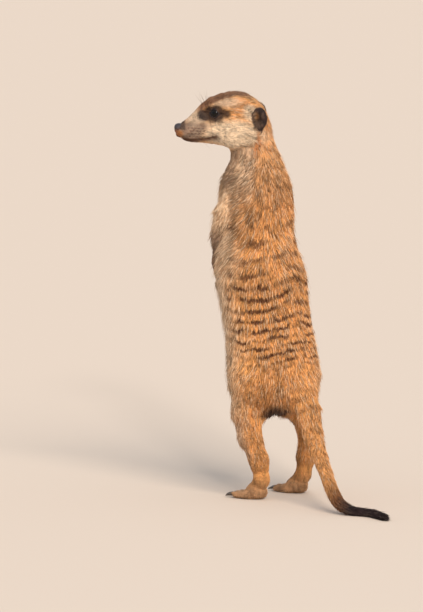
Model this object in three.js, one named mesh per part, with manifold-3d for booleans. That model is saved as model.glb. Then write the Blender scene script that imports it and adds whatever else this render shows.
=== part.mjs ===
// A suricate standing upright on its hind feet, with its forearms hanging before its belly, its head
// turned half left and its tail laid on the floor behind as a prop. Life size, in millimetres.
// +Z is up and the floor is z = 0. The body faces -Y, so the animal's left side is +X.
// Every size runs out to the tips of the coat.
//
// The animal is one smooth field, cut into its parts by thin planes. The arms lie on the trunk as
// bodies of their own. Eyes, ears, nose and claws sit in sockets of their own shape.

import * as THREE from "three";
import { mergeVertices } from "three/addons/utils/BufferGeometryUtils.js";
import Module from "manifold-3d";

const wasm = await Module();
wasm.setup();

// ---------------------------------------------------------------- driving dimensions

const GAP = 0.3; // between two parts that meet
const ARM_GAP = 0.45; // between the coat of the trunk and an arm lying on it
const FLOOR_SINK = 0.5; // how much of a pad or of the tail the floor flattens
const MIDLINE_GAP = 0.15; // each leg keeps this far from the middle plane

// Trunk and neck: [height, middle in Y, half width, half depth]
const TRUNK = [
  [61, -8, 11, 12],
  [66, -8.5, 21, 21],
  [73, -9, 29, 29],
  [83, -9.8, 34.5, 34.2],
  [95, -10.6, 35.8, 35.4],
  [110, -12, 35.4, 34.6],
  [132, -16, 34.2, 33.2],
  [152, -19.8, 34.4, 33.4],
  [170, -23, 34.4, 33.4],
  [186, -27, 31.4, 31.3],
  [200, -30, 27.8, 29],
  [214, -30.6, 27, 28.2],
  [226, -30, 27.2, 28],
  [236, -29.4, 26.4, 27],
  [245, -28.8, 23.6, 24.2],
  [254, -28.6, 19.6, 20.2],
  [262, -29.8, 17, 17.6],
  [270, -31, 14.6, 15.6],
  [279, -32, 13, 13],
];

const SHOULDER_BLADE = { at: [16, -19.5, 213], radii: [12, 9.6, 25] };

// Head, in its own frame of [ahead, left, up]: [ahead, top, underside, half width]
const HEAD_AT = new THREE.Vector3(0, -31, 0); // the neck's axis, on the floor
const HEAD_TURN = 45; // degrees to the animal's left
const HEAD = [
  [-11.5, 284, 262, 8],
  [-9, 289.5, 259, 15],
  [-5, 295.5, 257, 19.6],
  [2, 300.8, 258, 22.4],
  [10, 303.9, 260, 23.2],
  [18, 303.9, 262, 21.8],
  [25, 302.6, 263.4, 19.3],
  [30, 300.7, 264.2, 16.6],
  [35, 298.2, 265, 13.9],
  [40, 294.2, 265.4, 11.6],
  [45, 288.8, 265.6, 9.7],
  [50, 283.9, 266.6, 7.9],
  [54, 280.6, 268.8, 6.4],
  [57, 279, 271.6, 4.8],
];
const MUZZLE_TIP = { at: [54.6, 0, 275], radii: [4.2, 4.9, 4.6] };
const CHEEK = { at: [11, 13.2, 271.5], radii: [15, 10.6, 10.4] };
const BROW = { at: [29, 9.5, 295.4], radii: [7.5, 5, 3.6] };
const WHISKER_PAD = { at: [47.5, 4.6, 272.4], radii: [7.4, 4.2, 5.2] };
const SOCKET = { at: [33.4, 16.6, 289], radii: [6.2, 4.4, 4.7] };

const EYE = { at: [28, 11, 288.6], radius: 4.9 };
const NOSE = { at: [55.8, 0, 275.9], radii: [4, 4.7, 4.2] };
const NOSTRIL = { at: [58.7, 2.3, 276.1], radii: [1.9, 1.2, 1.2] };
const EAR = { at: [-4, 20.6, 284.8], radii: [6.2, 4.3, 9.2], faces: 16, leans: 10 };
const EAR_CUP = { off: [0.6, 3.1, -0.4], radii: [4.5, 3.4, 7.1] };

// Arms: centres and coat radii, from the shoulder down; the fingers hang from the knuckles.
const ARMS = {
  left: {
    shoulder: [16, -30, 231, 11],
    biceps: [23.2, -35.6, 214, 10],
    elbow: [23, -41, 196.5, 8.8],
    wrist: [7.8, -60.2, 174, 5.4],
    knuckles: [5.2, -61, 166, 4.8],
    fingertips: [4.6, -60, 157.5],
  },
  right: {
    shoulder: [-16, -30, 231, 11],
    biceps: [-23.4, -35.6, 214, 10],
    elbow: [-23.5, -41.5, 197, 8.8],
    wrist: [-9.6, -61, 168, 5.4],
    knuckles: [-10, -61.4, 159, 4.8],
    fingertips: [-10, -60.6, 150.4],
  },
};
const FINGER = { pitch: 3.1, spread: 1.16, root: 2.5, tip: 2, claw: 9.5, clawRoot: 1.25, clawBend: 34 };

// Legs: the left one is bent a little more at the knee and the right one stands straighter.
const LEGS = {
  left: {
    hip: [18.5, -9, 90, 19],
    knee: [23.5, -14.5, 67, 12.2],
    calf: [24, -10.8, 47, 9],
    hock: [24, -1.6, 30, 7],
    ankle: [22.4, 0, 15, 5.4],
    pad: [21.4, -6.2, 5],
    turnsOut: 4,
  },
  right: {
    hip: [-18.5, -7, 90, 19],
    knee: [-25.3, -5, 66, 12.6],
    calf: [-27.3, 2, 47, 9],
    hock: [-25, 0.4, 29, 6.8],
    ankle: [-22.8, -0.4, 15, 5.4],
    pad: [-22, -6.2, 5],
    turnsOut: 5,
  },
};
const PAD_RADII = [8.2, 8.6, 5.5];
const INSTEP = { ahead: 4, height: 6.4, radius: 4.6 };
const TOE = { pitch: 4.3, spread: 1.3, root: 3.1, tip: 2.8, start: 3, reach: 19, shorter: 3.6, claw: 7.5 };
const TOE_CLAW = { root: 1.25, bend: 24 };

// Tail, from inside the rump to its end: [x, y, z, radius]
const TAIL = [
  [-1, 8, 97, 14],
  [1.5, 21, 83, 12.4],
  [6, 33.4, 64.6, 9.2],
  [11.4, 43.8, 49, 7.5],
  [16.4, 54.4, 38, 6.4],
  [21.9, 65.8, 28, 5.6],
  [27.6, 76.8, 18.2, 5.5],
  [31.8, 87.6, 9.6, 5.2],
  [32.2, 97.2, 4.8, 4.6],
  [29.3, 105.7, 3.2, 3.7],
  [26.5, 117, 2.8, 3.4],
  [31.5, 135.4, 2.4, 2.9],
];
const TAIL_SIDES = 8;
const TAIL_JOINTS = [1.55, 4.3, 7.75]; // places along the rows above where its lengths meet
const TAIL_TUBE_FROM = 6; // the ring, two to a row, where the plain tube starts inside the base
const TAIL_END = { length: 3, shares: [0.5, 0.85, 1], bluntness: 0.2 };

// Fillets where the fields run into each other
const FILLET = {
  cheeks: 6,
  face: 3,
  socket: 2.4,
  neck: 5,
  shoulders: 9,
  hips: 9,
  rump: 8,
  tail: 1,
  leg: 5,
  heel: 4,
  instep: 3,
  toes: 1.2,
  arm: 3,
  fingers: 1,
};

// Planes that part the body: a point of the plane, and the way to the part named second
const CUTS = {
  head_neck: { at: [0, -31, 267], normal: [-0.14, 0.14, -0.98] },
  neck_chest: { at: [0, -29, 241], normal: [0, -0.16, -0.99] },
  chest_belly: { at: [0, -24, 171], normal: [0, 0.2, -0.98] },
  belly_hips: { at: [0, -13, 113], normal: [0, 0.12, -0.99] },
  hips_leg: { at: [3, -9, 64], normal: [0.64, -0.25, -0.727] },
  thigh_shank: { at: [24, -13, 56], normal: [0, 0.2, -0.98] },
  shank_foot: { at: [24, -1, 26], normal: [0, 0.1, -0.995] },
};

// Grid steps of the fields: coarse where the form is plain, fine on the face and the paws
const STEP = {
  head: [4.6, 4.6, 4.2],
  neck: [7.4, 7.4, 8],
  trunk: [8.8, 8.8, 12],
  tail: [5.6, 6, 6],
  arm: [5.6, 5.6, 6.8],
  hand: [2.3, 3.4, 4.4],
  thigh: [7.4, 7.4, 8],
  shank: [5.5, 5.6, 6.6],
  foot: [2.7, 5, 4.1],
};

// Boxes that the fields are meshed in, well clear of the form except where a cut follows
const HEAD_BOX = [[-40, -86, 252], [58, 8, 309]];
const NECK_BOX = [[-36, -68, 226], [36, 12, 280]];
const TRUNK_BOX = [[-42, -70, 40], [42, 44, 258]];
const TAIL_BASE_BOX = [[-16, 14, 22], [36, 78, 92]];

// ---------------------------------------------------------------- materials

const fur = (name, color) => new THREE.MeshStandardMaterial({ name, color, roughness: 0.9, metalness: 0 });
const TAN = fur("coat_tan", 0xb98a58);
const PALE = fur("coat_pale", 0xcbb59a);
const GREY = fur("coat_grey", 0x8c7a66);
const DARK = fur("coat_dark", 0x2e2621);
const EYE_GLOSS = new THREE.MeshStandardMaterial({
  name: "eye_gloss",
  color: 0x120c08,
  roughness: 0.06,
  metalness: 0,
});
const NOSE_SKIN = new THREE.MeshStandardMaterial({
  name: "nose_skin",
  color: 0x3a241a,
  roughness: 0.45,
  metalness: 0,
});
const CLAW_HORN = new THREE.MeshStandardMaterial({
  name: "claw_horn",
  color: 0x2b211b,
  roughness: 0.35,
  metalness: 0,
});

// ---------------------------------------------------------------- fields: below zero inside

const { hypot, min, max, abs, sin, cos, ceil } = Math;
const lerp = THREE.MathUtils.lerp;
const radians = THREE.MathUtils.degToRad;

/** Values of a table at any place along its first column, on a smooth curve through its rows. */
function smoothRows(rows) {
  const last = rows.length - 1;
  const row = (i) => rows[THREE.MathUtils.clamp(i, 0, last)];
  return (t) => {
    let i = 0;
    while (i < last - 1 && rows[i + 1][0] < t) i += 1;
    const s = THREE.MathUtils.clamp((t - rows[i][0]) / (rows[i + 1][0] - rows[i][0]), 0, 1);
    return rows[i].slice(1).map((value, k) => {
      const [a, b, c] = [row(i - 1)[k + 1], row(i + 1)[k + 1], row(i + 2)[k + 1]];
      const [entry, exit] = [(b - a) / 2, (c - value) / 2];
      const curve = 2 * value - 2 * b + entry + exit;
      return value + entry * s + (3 * b - 3 * value - 2 * entry - exit) * s * s + curve * s * s * s;
    });
  };
}

/** Ellipses along an axis. place(p) gives [along, across, up]; the rows give the ellipse there. */
function loftField(rows, place) {
  const at = smoothRows(rows);
  const [first, last] = [rows[0][0], rows[rows.length - 1][0]];
  return (x, y, z) => {
    const [along, across, up] = place(x, y, z);
    const [centre, halfAcross, halfUp] = at(along);
    const reach = hypot(across / halfAcross, (up - centre) / halfUp);
    return max((reach - 1) * min(halfAcross, halfUp), along - last, first - along);
  };
}

function ellipsoidField([cx, cy, cz], [rx, ry, rz]) {
  return (x, y, z) => {
    const [dx, dy, dz] = [x - cx, y - cy, z - cz];
    const reach = hypot(dx / rx, dy / ry, dz / rz);
    const slope = hypot(dx / (rx * rx), dy / (ry * ry), dz / (rz * rz));
    return slope < 1e-9 ? -min(rx, ry, rz) : (reach * (reach - 1)) / slope;
  };
}

/** A round bar that tapers from one [x, y, z, radius] to the next. */
function barField([ax, ay, az, ar], [bx, by, bz, br]) {
  const [ux, uy, uz] = [bx - ax, by - ay, bz - az];
  const square = ux * ux + uy * uy + uz * uz;
  return (x, y, z) => {
    const along = ((x - ax) * ux + (y - ay) * uy + (z - az) * uz) / square;
    const t = THREE.MathUtils.clamp(along, 0, 1);
    return hypot(x - ax - t * ux, y - ay - t * uy, z - az - t * uz) - lerp(ar, br, t);
  };
}

/** Joins fields with a fillet of the given size. */
function blend(fillet, ...fields) {
  return (x, y, z) => {
    let joined = fields[0](x, y, z);
    for (const field of fields.slice(1)) {
      const other = field(x, y, z);
      const near = max(fillet - abs(joined - other), 0) / fillet;
      joined = min(joined, other) - (near * near * fillet) / 4;
    }
    return joined;
  };
}

/** Takes a hollow out of a field, with a rounded rim. */
function hollow(field, cutter, rounding) {
  const joined = blend(rounding, (x, y, z) => -field(x, y, z), cutter);
  return (x, y, z) => -joined(x, y, z);
}

const barsThrough = (rows) => rows.slice(1).map((row, i) => barField(rows[i], row));
const grown = (field, by) => (x, y, z) => field(x, y, z) - by;
const mirrored = ([a, b, c], side) => [a, side * b, c];
const BOTH_SIDES = [1, -1];

// ---------------------------------------------------------------- meshing and cutting

/** Closed mesh of a field inside a box, on a grid: one point per crossed cell, set on the surface. */
function meshField(field, [low, high], step) {
  const count = low.map((edge, k) => ceil((high[k] - edge) / step[k]) + 1);
  const [nx, ny, nz] = count;
  const index = (i, j, k) => i + nx * (j + ny * k);
  const stride = [1, nx, nx * ny];
  const onBorder = (ijk) => ijk.some((n, k) => n === 0 || n === count[k] - 1);
  const values = new Float64Array(nx * ny * nz);
  for (let k = 0; k < nz; k += 1)
    for (let j = 0; j < ny; j += 1)
      for (let i = 0; i < nx; i += 1) {
        const value = field(low[0] + i * step[0], low[1] + j * step[1], low[2] + k * step[2]);
        values[index(i, j, k)] = onBorder([i, j, k]) ? max(value, 0.01) : value || 1e-6;
      }

  partCheckers(values, count, stride);

  const points = [];
  const pointOfCell = new Int32Array(values.length).fill(-1);
  for (let k = 0; k < nz - 1; k += 1)
    for (let j = 0; j < ny - 1; j += 1)
      for (let i = 0; i < nx - 1; i += 1) {
        const crossing = cellCrossing(values, index(i, j, k), stride);
        if (!crossing) continue;
        const atEdge = [i, j, k].some((n, axis) => n === 0 || n === count[axis] - 2);
        const start = [i, j, k].map((n, axis) => low[axis] + (n + crossing[axis]) * step[axis]);
        pointOfCell[index(i, j, k)] = points.length / 3;
        points.push(...(atEdge ? start : ontoSurface(field, start, min(...step))));
      }

  const triangles = [];
  for (let k = 0; k < nz - 1; k += 1)
    for (let j = 0; j < ny - 1; j += 1)
      for (let i = 0; i < nx - 1; i += 1)
        for (let axis = 0; axis < 3; axis += 1) {
          if ([i, j, k].some((n, other) => n === 0 && other !== axis)) continue;
          const here = index(i, j, k);
          const inside = values[here] < 0;
          if (inside === values[here + stride[axis]] < 0) continue;
          const [u, v] = [stride[(axis + 1) % 3], stride[(axis + 2) % 3]];
          const ring = [here - u - v, here - v, here, here - u].map((cell) => pointOfCell[cell]);
          triangles.push(...splitQuad(points, inside ? ring : ring.reverse()));
        }
  return solidOf(new Float32Array(points), new Uint32Array(triangles));
}

/** Grid squares with inside and outside at opposite corners would pinch the surface: their value
 *  nearest to zero changes its sign until none is left. */
function partCheckers(values, count, stride) {
  const OUTSIDE = 1e-3;
  let changed = true;
  while (changed) {
    changed = false;
    for (let cell = 0; cell < values.length; cell += 1)
      for (let axis = 0; axis < 3; axis += 1) {
        const [u, v] = [(axis + 1) % 3, (axis + 2) % 3];
        const place = (other) => Math.floor(cell / stride[other]) % count[other];
        if (place(u) > count[u] - 2 || place(v) > count[v] - 2) continue;
        const corners = [cell, cell + stride[u], cell + stride[u] + stride[v], cell + stride[v]];
        const [a, b, c, d] = corners.map((corner) => values[corner] < 0);
        if (a !== c || b !== d || a === b) continue;
        const [one, other] = corners.filter((corner) => values[corner] < 0);
        values[abs(values[one]) < abs(values[other]) ? one : other] = OUTSIDE;
        changed = true;
      }
  }
}

/** Mean of the places where the surface crosses a cell's edges, in parts of a cell. */
function cellCrossing(values, cell, stride) {
  const sum = [0, 0, 0];
  let crossings = 0;
  for (let axis = 0; axis < 3; axis += 1) {
    const [u, v] = [(axis + 1) % 3, (axis + 2) % 3];
    for (const [du, dv] of [[0, 0], [1, 0], [0, 1], [1, 1]]) {
      const start = cell + du * stride[u] + dv * stride[v];
      const [a, b] = [values[start], values[start + stride[axis]]];
      if (a < 0 === b < 0) continue;
      sum[axis] += a / (a - b);
      sum[u] += du;
      sum[v] += dv;
      crossings += 1;
    }
  }
  return crossings ? sum.map((s) => s / crossings) : null;
}

/** Moves a point down the field's slope until it lies on the surface, within its own cell. */
function ontoSurface(field, start, cell) {
  const [NUDGE, ROUNDS, LEAST_SLOPE, LONGEST_MOVE] = [0.05, 4, 0.05, 0.6];
  const p = [...start];
  for (let round = 0; round < ROUNDS; round += 1) {
    const value = field(...p);
    const slope = [0, 1, 2].map((axis) => {
      const [before, after] = [[...p], [...p]];
      before[axis] -= NUDGE;
      after[axis] += NUDGE;
      return (field(...after) - field(...before)) / (2 * NUDGE);
    });
    const square = max(slope[0] ** 2 + slope[1] ** 2 + slope[2] ** 2, LEAST_SLOPE);
    for (let axis = 0; axis < 3; axis += 1) p[axis] -= (value * slope[axis]) / square;
  }
  const moved = hypot(p[0] - start[0], p[1] - start[1], p[2] - start[2]);
  const share = min(1, (LONGEST_MOVE * cell) / max(moved, 1e-9));
  return p.map((value, axis) => lerp(start[axis], value, share));
}

/** Two triangles from a quad, parted along its shorter diagonal. */
function splitQuad(points, [a, b, c, d]) {
  const apart = (m, n) => hypot(...[0, 1, 2].map((k) => points[3 * m + k] - points[3 * n + k]));
  return apart(a, c) < apart(b, d) ? [a, b, c, a, c, d] : [a, b, d, b, c, d];
}

function solidOf(vertProperties, triVerts) {
  return new wasm.Manifold(new wasm.Mesh({ numProp: 3, vertProperties, triVerts }));
}

function solidFromGeometry(geometry, matrix = new THREE.Matrix4()) {
  const bare = geometry.clone().deleteAttribute("normal").deleteAttribute("uv");
  const merged = mergeVertices(bare.applyMatrix4(matrix), 1e-4);
  return solidOf(merged.getAttribute("position").array, new Uint32Array(merged.getIndex().array));
}

/** All space on the side of a plane that its normal points to. */
function halfSpace(at, normal) {
  const REACH = 800;
  const turn = new THREE.Quaternion().setFromUnitVectors(
    new THREE.Vector3(0, 0, 1),
    new THREE.Vector3(...normal).normalize(),
  );
  const block = new THREE.BoxGeometry(REACH, REACH, REACH).translate(0, 0, REACH / 2);
  const place = new THREE.Matrix4().compose(new THREE.Vector3(...at), turn, new THREE.Vector3(1, 1, 1));
  return solidFromGeometry(block, place);
}

/** Keeps what lies before (-1) or after (+1) a cut, half a gap away from it. */
function keep(solid, cut, side) {
  const away = new THREE.Vector3(...cut.normal).normalize().multiplyScalar(side);
  const at = new THREE.Vector3(...cut.at).addScaledVector(away, GAP / 2);
  return solid.intersect(halfSpace(at.toArray(), away.toArray()));
}

const mirroredCut = (cut, side) => ({
  at: [cut.at[0] * side, cut.at[1], cut.at[2]],
  normal: [cut.normal[0] * side, cut.normal[1], cut.normal[2]],
});
const onFloor = (solid) => solid.intersect(halfSpace([0, 0, 0], [0, 0, 1]));

/** Rings of points round a course of [x, y, z, radius], closed by a fan at each end. */
function ringTube(rows, sides) {
  const centres = rows.map((row) => new THREE.Vector3(row[0], row[1], row[2]));
  const positions = [];
  const indices = [];
  centres.forEach((centre, i) => {
    const ahead = centres[min(i + 1, rows.length - 1)].clone().sub(centres[max(i - 1, 0)]).normalize();
    const across = new THREE.Vector3(ahead.y, -ahead.x, 0);
    if (across.lengthSq() < 1e-6) across.set(1, 0, 0);
    across.normalize();
    const up = across.clone().cross(ahead);
    for (let s = 0; s < sides; s += 1) {
      const angle = (2 * Math.PI * s) / sides;
      const point = centre.clone();
      point.addScaledVector(across, rows[i][3] * cos(angle));
      point.addScaledVector(up, rows[i][3] * sin(angle));
      positions.push(...point.toArray());
    }
  });
  for (let i = 0; i < rows.length - 1; i += 1)
    for (let s = 0; s < sides; s += 1) {
      const [a, b] = [i * sides + s, i * sides + ((s + 1) % sides)];
      indices.push(a, a + sides, b, b, a + sides, b + sides);
    }
  const [firstMiddle, lastMiddle] = [positions.length / 3, positions.length / 3 + 1];
  positions.push(...centres[0].toArray(), ...centres[rows.length - 1].toArray());
  const lastRing = (rows.length - 1) * sides;
  for (let s = 0; s < sides; s += 1) {
    const next = (s + 1) % sides;
    indices.push(firstMiddle, s, next, lastMiddle, lastRing + next, lastRing + s);
  }
  const geometry = new THREE.BufferGeometry();
  geometry.setAttribute("position", new THREE.Float32BufferAttribute(positions, 3));
  return geometry.setIndex(indices);
}

function geometryOf(solid) {
  const mesh = solid.getMesh();
  const geometry = new THREE.BufferGeometry();
  geometry.setAttribute("position", new THREE.BufferAttribute(mesh.vertProperties, mesh.numProp));
  geometry.setIndex(new THREE.BufferAttribute(mesh.triVerts, 1));
  geometry.computeVertexNormals();
  return geometry;
}

// ---------------------------------------------------------------- the animal's form

const headTurn = radians(HEAD_TURN);
const ahead = [sin(headTurn), -cos(headTurn)];
const leftward = [cos(headTurn), sin(headTurn)];
const headFrame = new THREE.Matrix4().makeBasis(
  new THREE.Vector3(ahead[0], ahead[1], 0),
  new THREE.Vector3(leftward[0], leftward[1], 0),
  new THREE.Vector3(0, 0, 1),
);
headFrame.setPosition(HEAD_AT);

function headPlace(x, y, z) {
  const [dx, dy] = [x - HEAD_AT.x, y - HEAD_AT.y];
  return [dx * ahead[0] + dy * ahead[1], dx * leftward[0] + dy * leftward[1], z];
}

function headField() {
  const sections = HEAD.map(([at, top, under, half]) => [at, (top + under) / 2, half, (top - under) / 2]);
  const lump = (shape, side) => ellipsoidField(mirrored(shape.at, side), shape.radii);
  const skull = loftField(sections, (a, b, c) => [a, b, c]);
  const cheeks = BOTH_SIDES.map((side) => lump(CHEEK, side));
  const small = BOTH_SIDES.flatMap((side) => [lump(BROW, side), lump(WHISKER_PAD, side)]);
  let field = blend(FILLET.cheeks, skull, ...cheeks);
  field = blend(FILLET.face, field, ...small, lump(MUZZLE_TIP, 1));
  for (const side of BOTH_SIDES) field = hollow(field, lump(SOCKET, side), FILLET.socket);
  return (x, y, z) => field(...headPlace(x, y, z));
}

/** How far aside each of a paw's four digits is, in pitches. */
const digitOffsets = [-1.5, -0.5, 0.5, 1.5];
const isOuter = (offset) => abs(offset) > 1;

function toesOf(leg) {
  const [x, y] = leg.pad;
  const side = Math.sign(x);
  const turn = radians(leg.turnsOut) * side;
  const [forward, across] = [[sin(turn), -cos(turn)], [cos(turn), sin(turn)]];
  return digitOffsets.map((offset) => {
    const reach = TOE.reach - (isOuter(offset) ? TOE.shorter : 0);
    const point = (along, spread, radius) => {
      const sideways = offset * TOE.pitch * spread;
      return [
        x + forward[0] * along + across[0] * sideways,
        y + forward[1] * along + across[1] * sideways,
        radius - FLOOR_SINK,
        radius,
      ];
    };
    return { root: point(TOE.start, 1, TOE.root), tip: point(reach, TOE.spread, TOE.tip) };
  });
}

function legField(leg) {
  const limb = blend(FILLET.leg, ...barsThrough([leg.hip, leg.knee, leg.calf, leg.hock, leg.ankle]));
  const instep = barField(leg.ankle, [leg.pad[0], leg.pad[1] - INSTEP.ahead, INSTEP.height, INSTEP.radius]);
  const pad = ellipsoidField(leg.pad, PAD_RADII);
  const toes = toesOf(leg).map(({ root, tip }) => barField(root, tip));
  return blend(FILLET.heel, limb, blend(FILLET.toes, blend(FILLET.instep, instep, pad), ...toes));
}

function fingersOf(arm) {
  const [wrist, knuckles, tips] = [arm.wrist, arm.knuckles, arm.fingertips];
  const [ROOT_SPREAD, ROOT_PLACE, FORWARD, OUTER_SHARE] = [0.8, 0.7, 0.6, 0.82];
  return digitOffsets.map((offset) => {
    const shorter = isOuter(offset) ? OUTER_SHARE : 1;
    const sideways = offset * FINGER.pitch;
    const [rootX, tipX] = [knuckles[0] + sideways * ROOT_SPREAD, tips[0] + sideways * FINGER.spread];
    const [rootZ, tipZ] = [lerp(wrist[2], knuckles[2], ROOT_PLACE), lerp(knuckles[2], tips[2], shorter)];
    return {
      root: [rootX, knuckles[1] - FORWARD, rootZ, FINGER.root],
      tip: [tipX, tips[1] - FORWARD, tipZ, FINGER.tip],
    };
  });
}

function armField(arm) {
  const rows = [arm.shoulder, arm.biceps, arm.elbow, arm.wrist, arm.knuckles];
  const limb = blend(FILLET.arm, ...barsThrough(rows));
  const fingers = fingersOf(arm).map(({ root, tip }) => barField(root, tip));
  return blend(FILLET.fingers, limb, ...fingers);
}

const trunkField = loftField(TRUNK, (x, y, z) => [z, x, y]);
const bladeFields = BOTH_SIDES.map((side) => {
  const [x, y, z] = SHOULDER_BLADE.at;
  return ellipsoidField([side * x, y, z], SHOULDER_BLADE.radii);
});
const torsoField = blend(FILLET.shoulders, trunkField, ...bladeFields);
const upperField = blend(FILLET.neck, torsoField, headField());
const bodyField = blend(FILLET.hips, upperField, legField(LEGS.left), legField(LEGS.right));

const smoothTail = smoothRows(TAIL.map((row, i) => [i, ...row]));
const TAIL_RING_PITCH = 0.5;
const tailRows = [];
for (let t = 0; t < TAIL.length - 1; t += TAIL_RING_PITCH) tailRows.push(smoothTail(t));
tailRows.push(smoothTail(TAIL.length - 1));
const tailField = blend(FILLET.tail, ...barsThrough(tailRows));
const rearField = blend(FILLET.rump, bodyField, tailField);

function tailCut(place) {
  const STEP_ALONG = 0.1;
  const [before, after] = [smoothTail(place - STEP_ALONG), smoothTail(place + STEP_ALONG)];
  return {
    at: smoothTail(place).slice(0, 3),
    normal: [0, 1, 2].map((axis) => after[axis] - before[axis]),
  };
}
const tailCuts = TAIL_JOINTS.map(tailCut);

// ---------------------------------------------------------------- parts

const meerkat = new THREE.Group();
meerkat.name = "meerkat";

function addPart(name, geometry, material, matrix) {
  const mesh = new THREE.Mesh(geometry, material);
  mesh.name = name;
  if (matrix) matrix.decompose(mesh.position, mesh.quaternion, mesh.scale);
  meerkat.add(mesh);
}

const addSolid = (name, solid, material) => addPart(name, geometryOf(solid), material);

/** An ellipsoid as a closed mesh about its own centre. */
function ovalGeometry([rx, ry, rz], around, high) {
  return new THREE.SphereGeometry(1, around, high).rotateX(Math.PI / 2).scale(rx, ry, rz);
}
const larger = (radii, by) => radii.map((radius) => radius + by);

function headMatrix(at, rotation = new THREE.Euler()) {
  const place = new THREE.Matrix4().makeRotationFromEuler(rotation).setPosition(...at);
  return headFrame.clone().multiply(place);
}

function eyeMatrix(side) {
  return headMatrix(mirrored(EYE.at, side));
}
const eyeGeometry = (gap) => ovalGeometry(larger([EYE.radius, EYE.radius, EYE.radius], gap), 10, 6);

/** The ear faces a little forward and leans outward at its top. */
function earMatrix(side) {
  const facing = new THREE.Euler(radians(-EAR.leans * side), 0, radians(-EAR.faces * side));
  return headMatrix(mirrored(EAR.at, side), facing);
}

function earSolid(side) {
  const shell = solidFromGeometry(ovalGeometry(EAR.radii, 10, 7));
  const cupPlace = new THREE.Matrix4().setPosition(...mirrored(EAR_CUP.off, side));
  return shell.subtract(solidFromGeometry(ovalGeometry(EAR_CUP.radii, 8, 6), cupPlace));
}

function noseSolid() {
  const place = (shape, side) => new THREE.Matrix4().setPosition(...mirrored(shape.at, side));
  let pad = solidFromGeometry(ovalGeometry(NOSE.radii, 8, 6), place(NOSE, 1));
  for (const side of BOTH_SIDES) {
    pad = pad.subtract(solidFromGeometry(ovalGeometry(NOSTRIL.radii, 6, 4), place(NOSTRIL, side)));
  }
  return pad;
}

/** A claw that curves down as it goes forward along X, from its root at the origin. */
function clawGeometry(length, root, bend, gap) {
  const [STEPS, SIDES] = [2, 5];
  const TIP_SHARE = 0.3;
  const rows = [];
  for (let i = 0; i <= STEPS; i += 1) {
    const t = i / STEPS;
    const angle = radians(bend) * t;
    const drop = length * t * sin(angle / 2);
    rows.push([length * t * cos(angle / 2), 0, -drop, root * lerp(1, TIP_SHARE, t * t) + gap]);
  }
  return ringTube(rows, SIDES);
}

/** Turns a claw's own X to a heading and puts its root a little way back inside the digit. */
function clawMatrix({ root, tip }, rise) {
  const SUNK = 1.6;
  const along = new THREE.Vector3(tip[0] - root[0], tip[1] - root[1], tip[2] - root[2]).normalize();
  const up = new THREE.Vector3(0, 0, 1);
  if (abs(along.z) > 0.7) up.set(0, -1, 0);
  const sideways = up.clone().cross(along).normalize();
  const over = along.clone().cross(sideways);
  const at = new THREE.Vector3(tip[0], tip[1], tip[2]);
  at.addScaledVector(along, tip[3] - SUNK).addScaledVector(over, rise);
  return new THREE.Matrix4().makeBasis(along, sideways, over).setPosition(at);
}

/** The four claws of one paw, and the paw with their sockets. */
function addClaws(paw, digits, { claw, root, bend, rise }, prefix) {
  const OUTER_CLAW_SHARE = 0.88;
  let seated = paw;
  digits.forEach((digit, i) => {
    const matrix = clawMatrix(digit, rise);
    const length = isOuter(digitOffsets[i]) ? claw * OUTER_CLAW_SHARE : claw;
    seated = seated.subtract(solidFromGeometry(clawGeometry(length, root, bend, GAP), matrix));
    addPart(`${prefix}_claw_${i + 1}`, clawGeometry(length, root, bend, 0), CLAW_HORN, matrix);
  });
  return seated;
}

function buildHead() {
  let head = meshField(bodyField, HEAD_BOX, STEP.head);
  head = keep(head, CUTS.head_neck, -1);
  for (const [side, word] of [[1, "left"], [-1, "right"]]) {
    head = head.subtract(solidFromGeometry(eyeGeometry(GAP), eyeMatrix(side)));
    addPart(`${word}_eye`, eyeGeometry(0), EYE_GLOSS, eyeMatrix(side));
    head = head.subtract(solidFromGeometry(ovalGeometry(larger(EAR.radii, GAP), 10, 7), earMatrix(side)));
    addPart(`${word}_ear`, geometryOf(earSolid(side)), DARK, earMatrix(side));
  }
  head = head.subtract(
    solidFromGeometry(ovalGeometry(larger(NOSE.radii, GAP), 8, 6), headMatrix(NOSE.at)),
  );
  addPart("nose", geometryOf(noseSolid()), NOSE_SKIN, headFrame);
  addSolid("head", head, PALE);
}

function buildTrunk() {
  const neck = meshField(bodyField, NECK_BOX, STEP.neck);
  addSolid("neck", keep(keep(neck, CUTS.head_neck, 1), CUTS.neck_chest, -1), TAN);
  const trunk = meshField(rearField, TRUNK_BOX, STEP.trunk);
  addSolid("chest", keep(keep(trunk, CUTS.neck_chest, 1), CUTS.chest_belly, -1), TAN);
  addSolid("belly", keep(keep(trunk, CUTS.chest_belly, 1), CUTS.belly_hips, -1), TAN);
  let hips = keep(trunk, CUTS.belly_hips, 1);
  for (const side of BOTH_SIDES) hips = keep(hips, mirroredCut(CUTS.hips_leg, side), -1);
  addSolid("hips", keep(hips, tailCuts[0], -1), TAN);
}

function buildTail() {
  const base = meshField(rearField, TAIL_BASE_BOX, STEP.tail);
  addSolid("tail_base", keep(keep(base, tailCuts[0], 1), tailCuts[1], -1), TAN);
  const [end, before] = [smoothTail(TAIL.length - 1), smoothTail(TAIL.length - 1.2)];
  const heading = [0, 1, 2].map((axis) => end[axis] - before[axis]);
  const length = hypot(...heading);
  const rounding = TAIL_END.shares.map((share) => {
    const out = (share * TAIL_END.length) / length;
    const radius = end[3] * max(Math.sqrt(1 - share * share), TAIL_END.bluntness);
    return [...[0, 1, 2].map((axis) => end[axis] + heading[axis] * out), radius];
  });
  const tube = ringTube([...tailRows.slice(TAIL_TUBE_FROM), ...rounding], TAIL_SIDES);
  const tail = onFloor(solidFromGeometry(tube));
  addSolid("tail_middle", keep(keep(tail, tailCuts[1], 1), tailCuts[2], -1), TAN);
  addSolid("tail_tip", keep(tail, tailCuts[2], 1), DARK);
}

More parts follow.
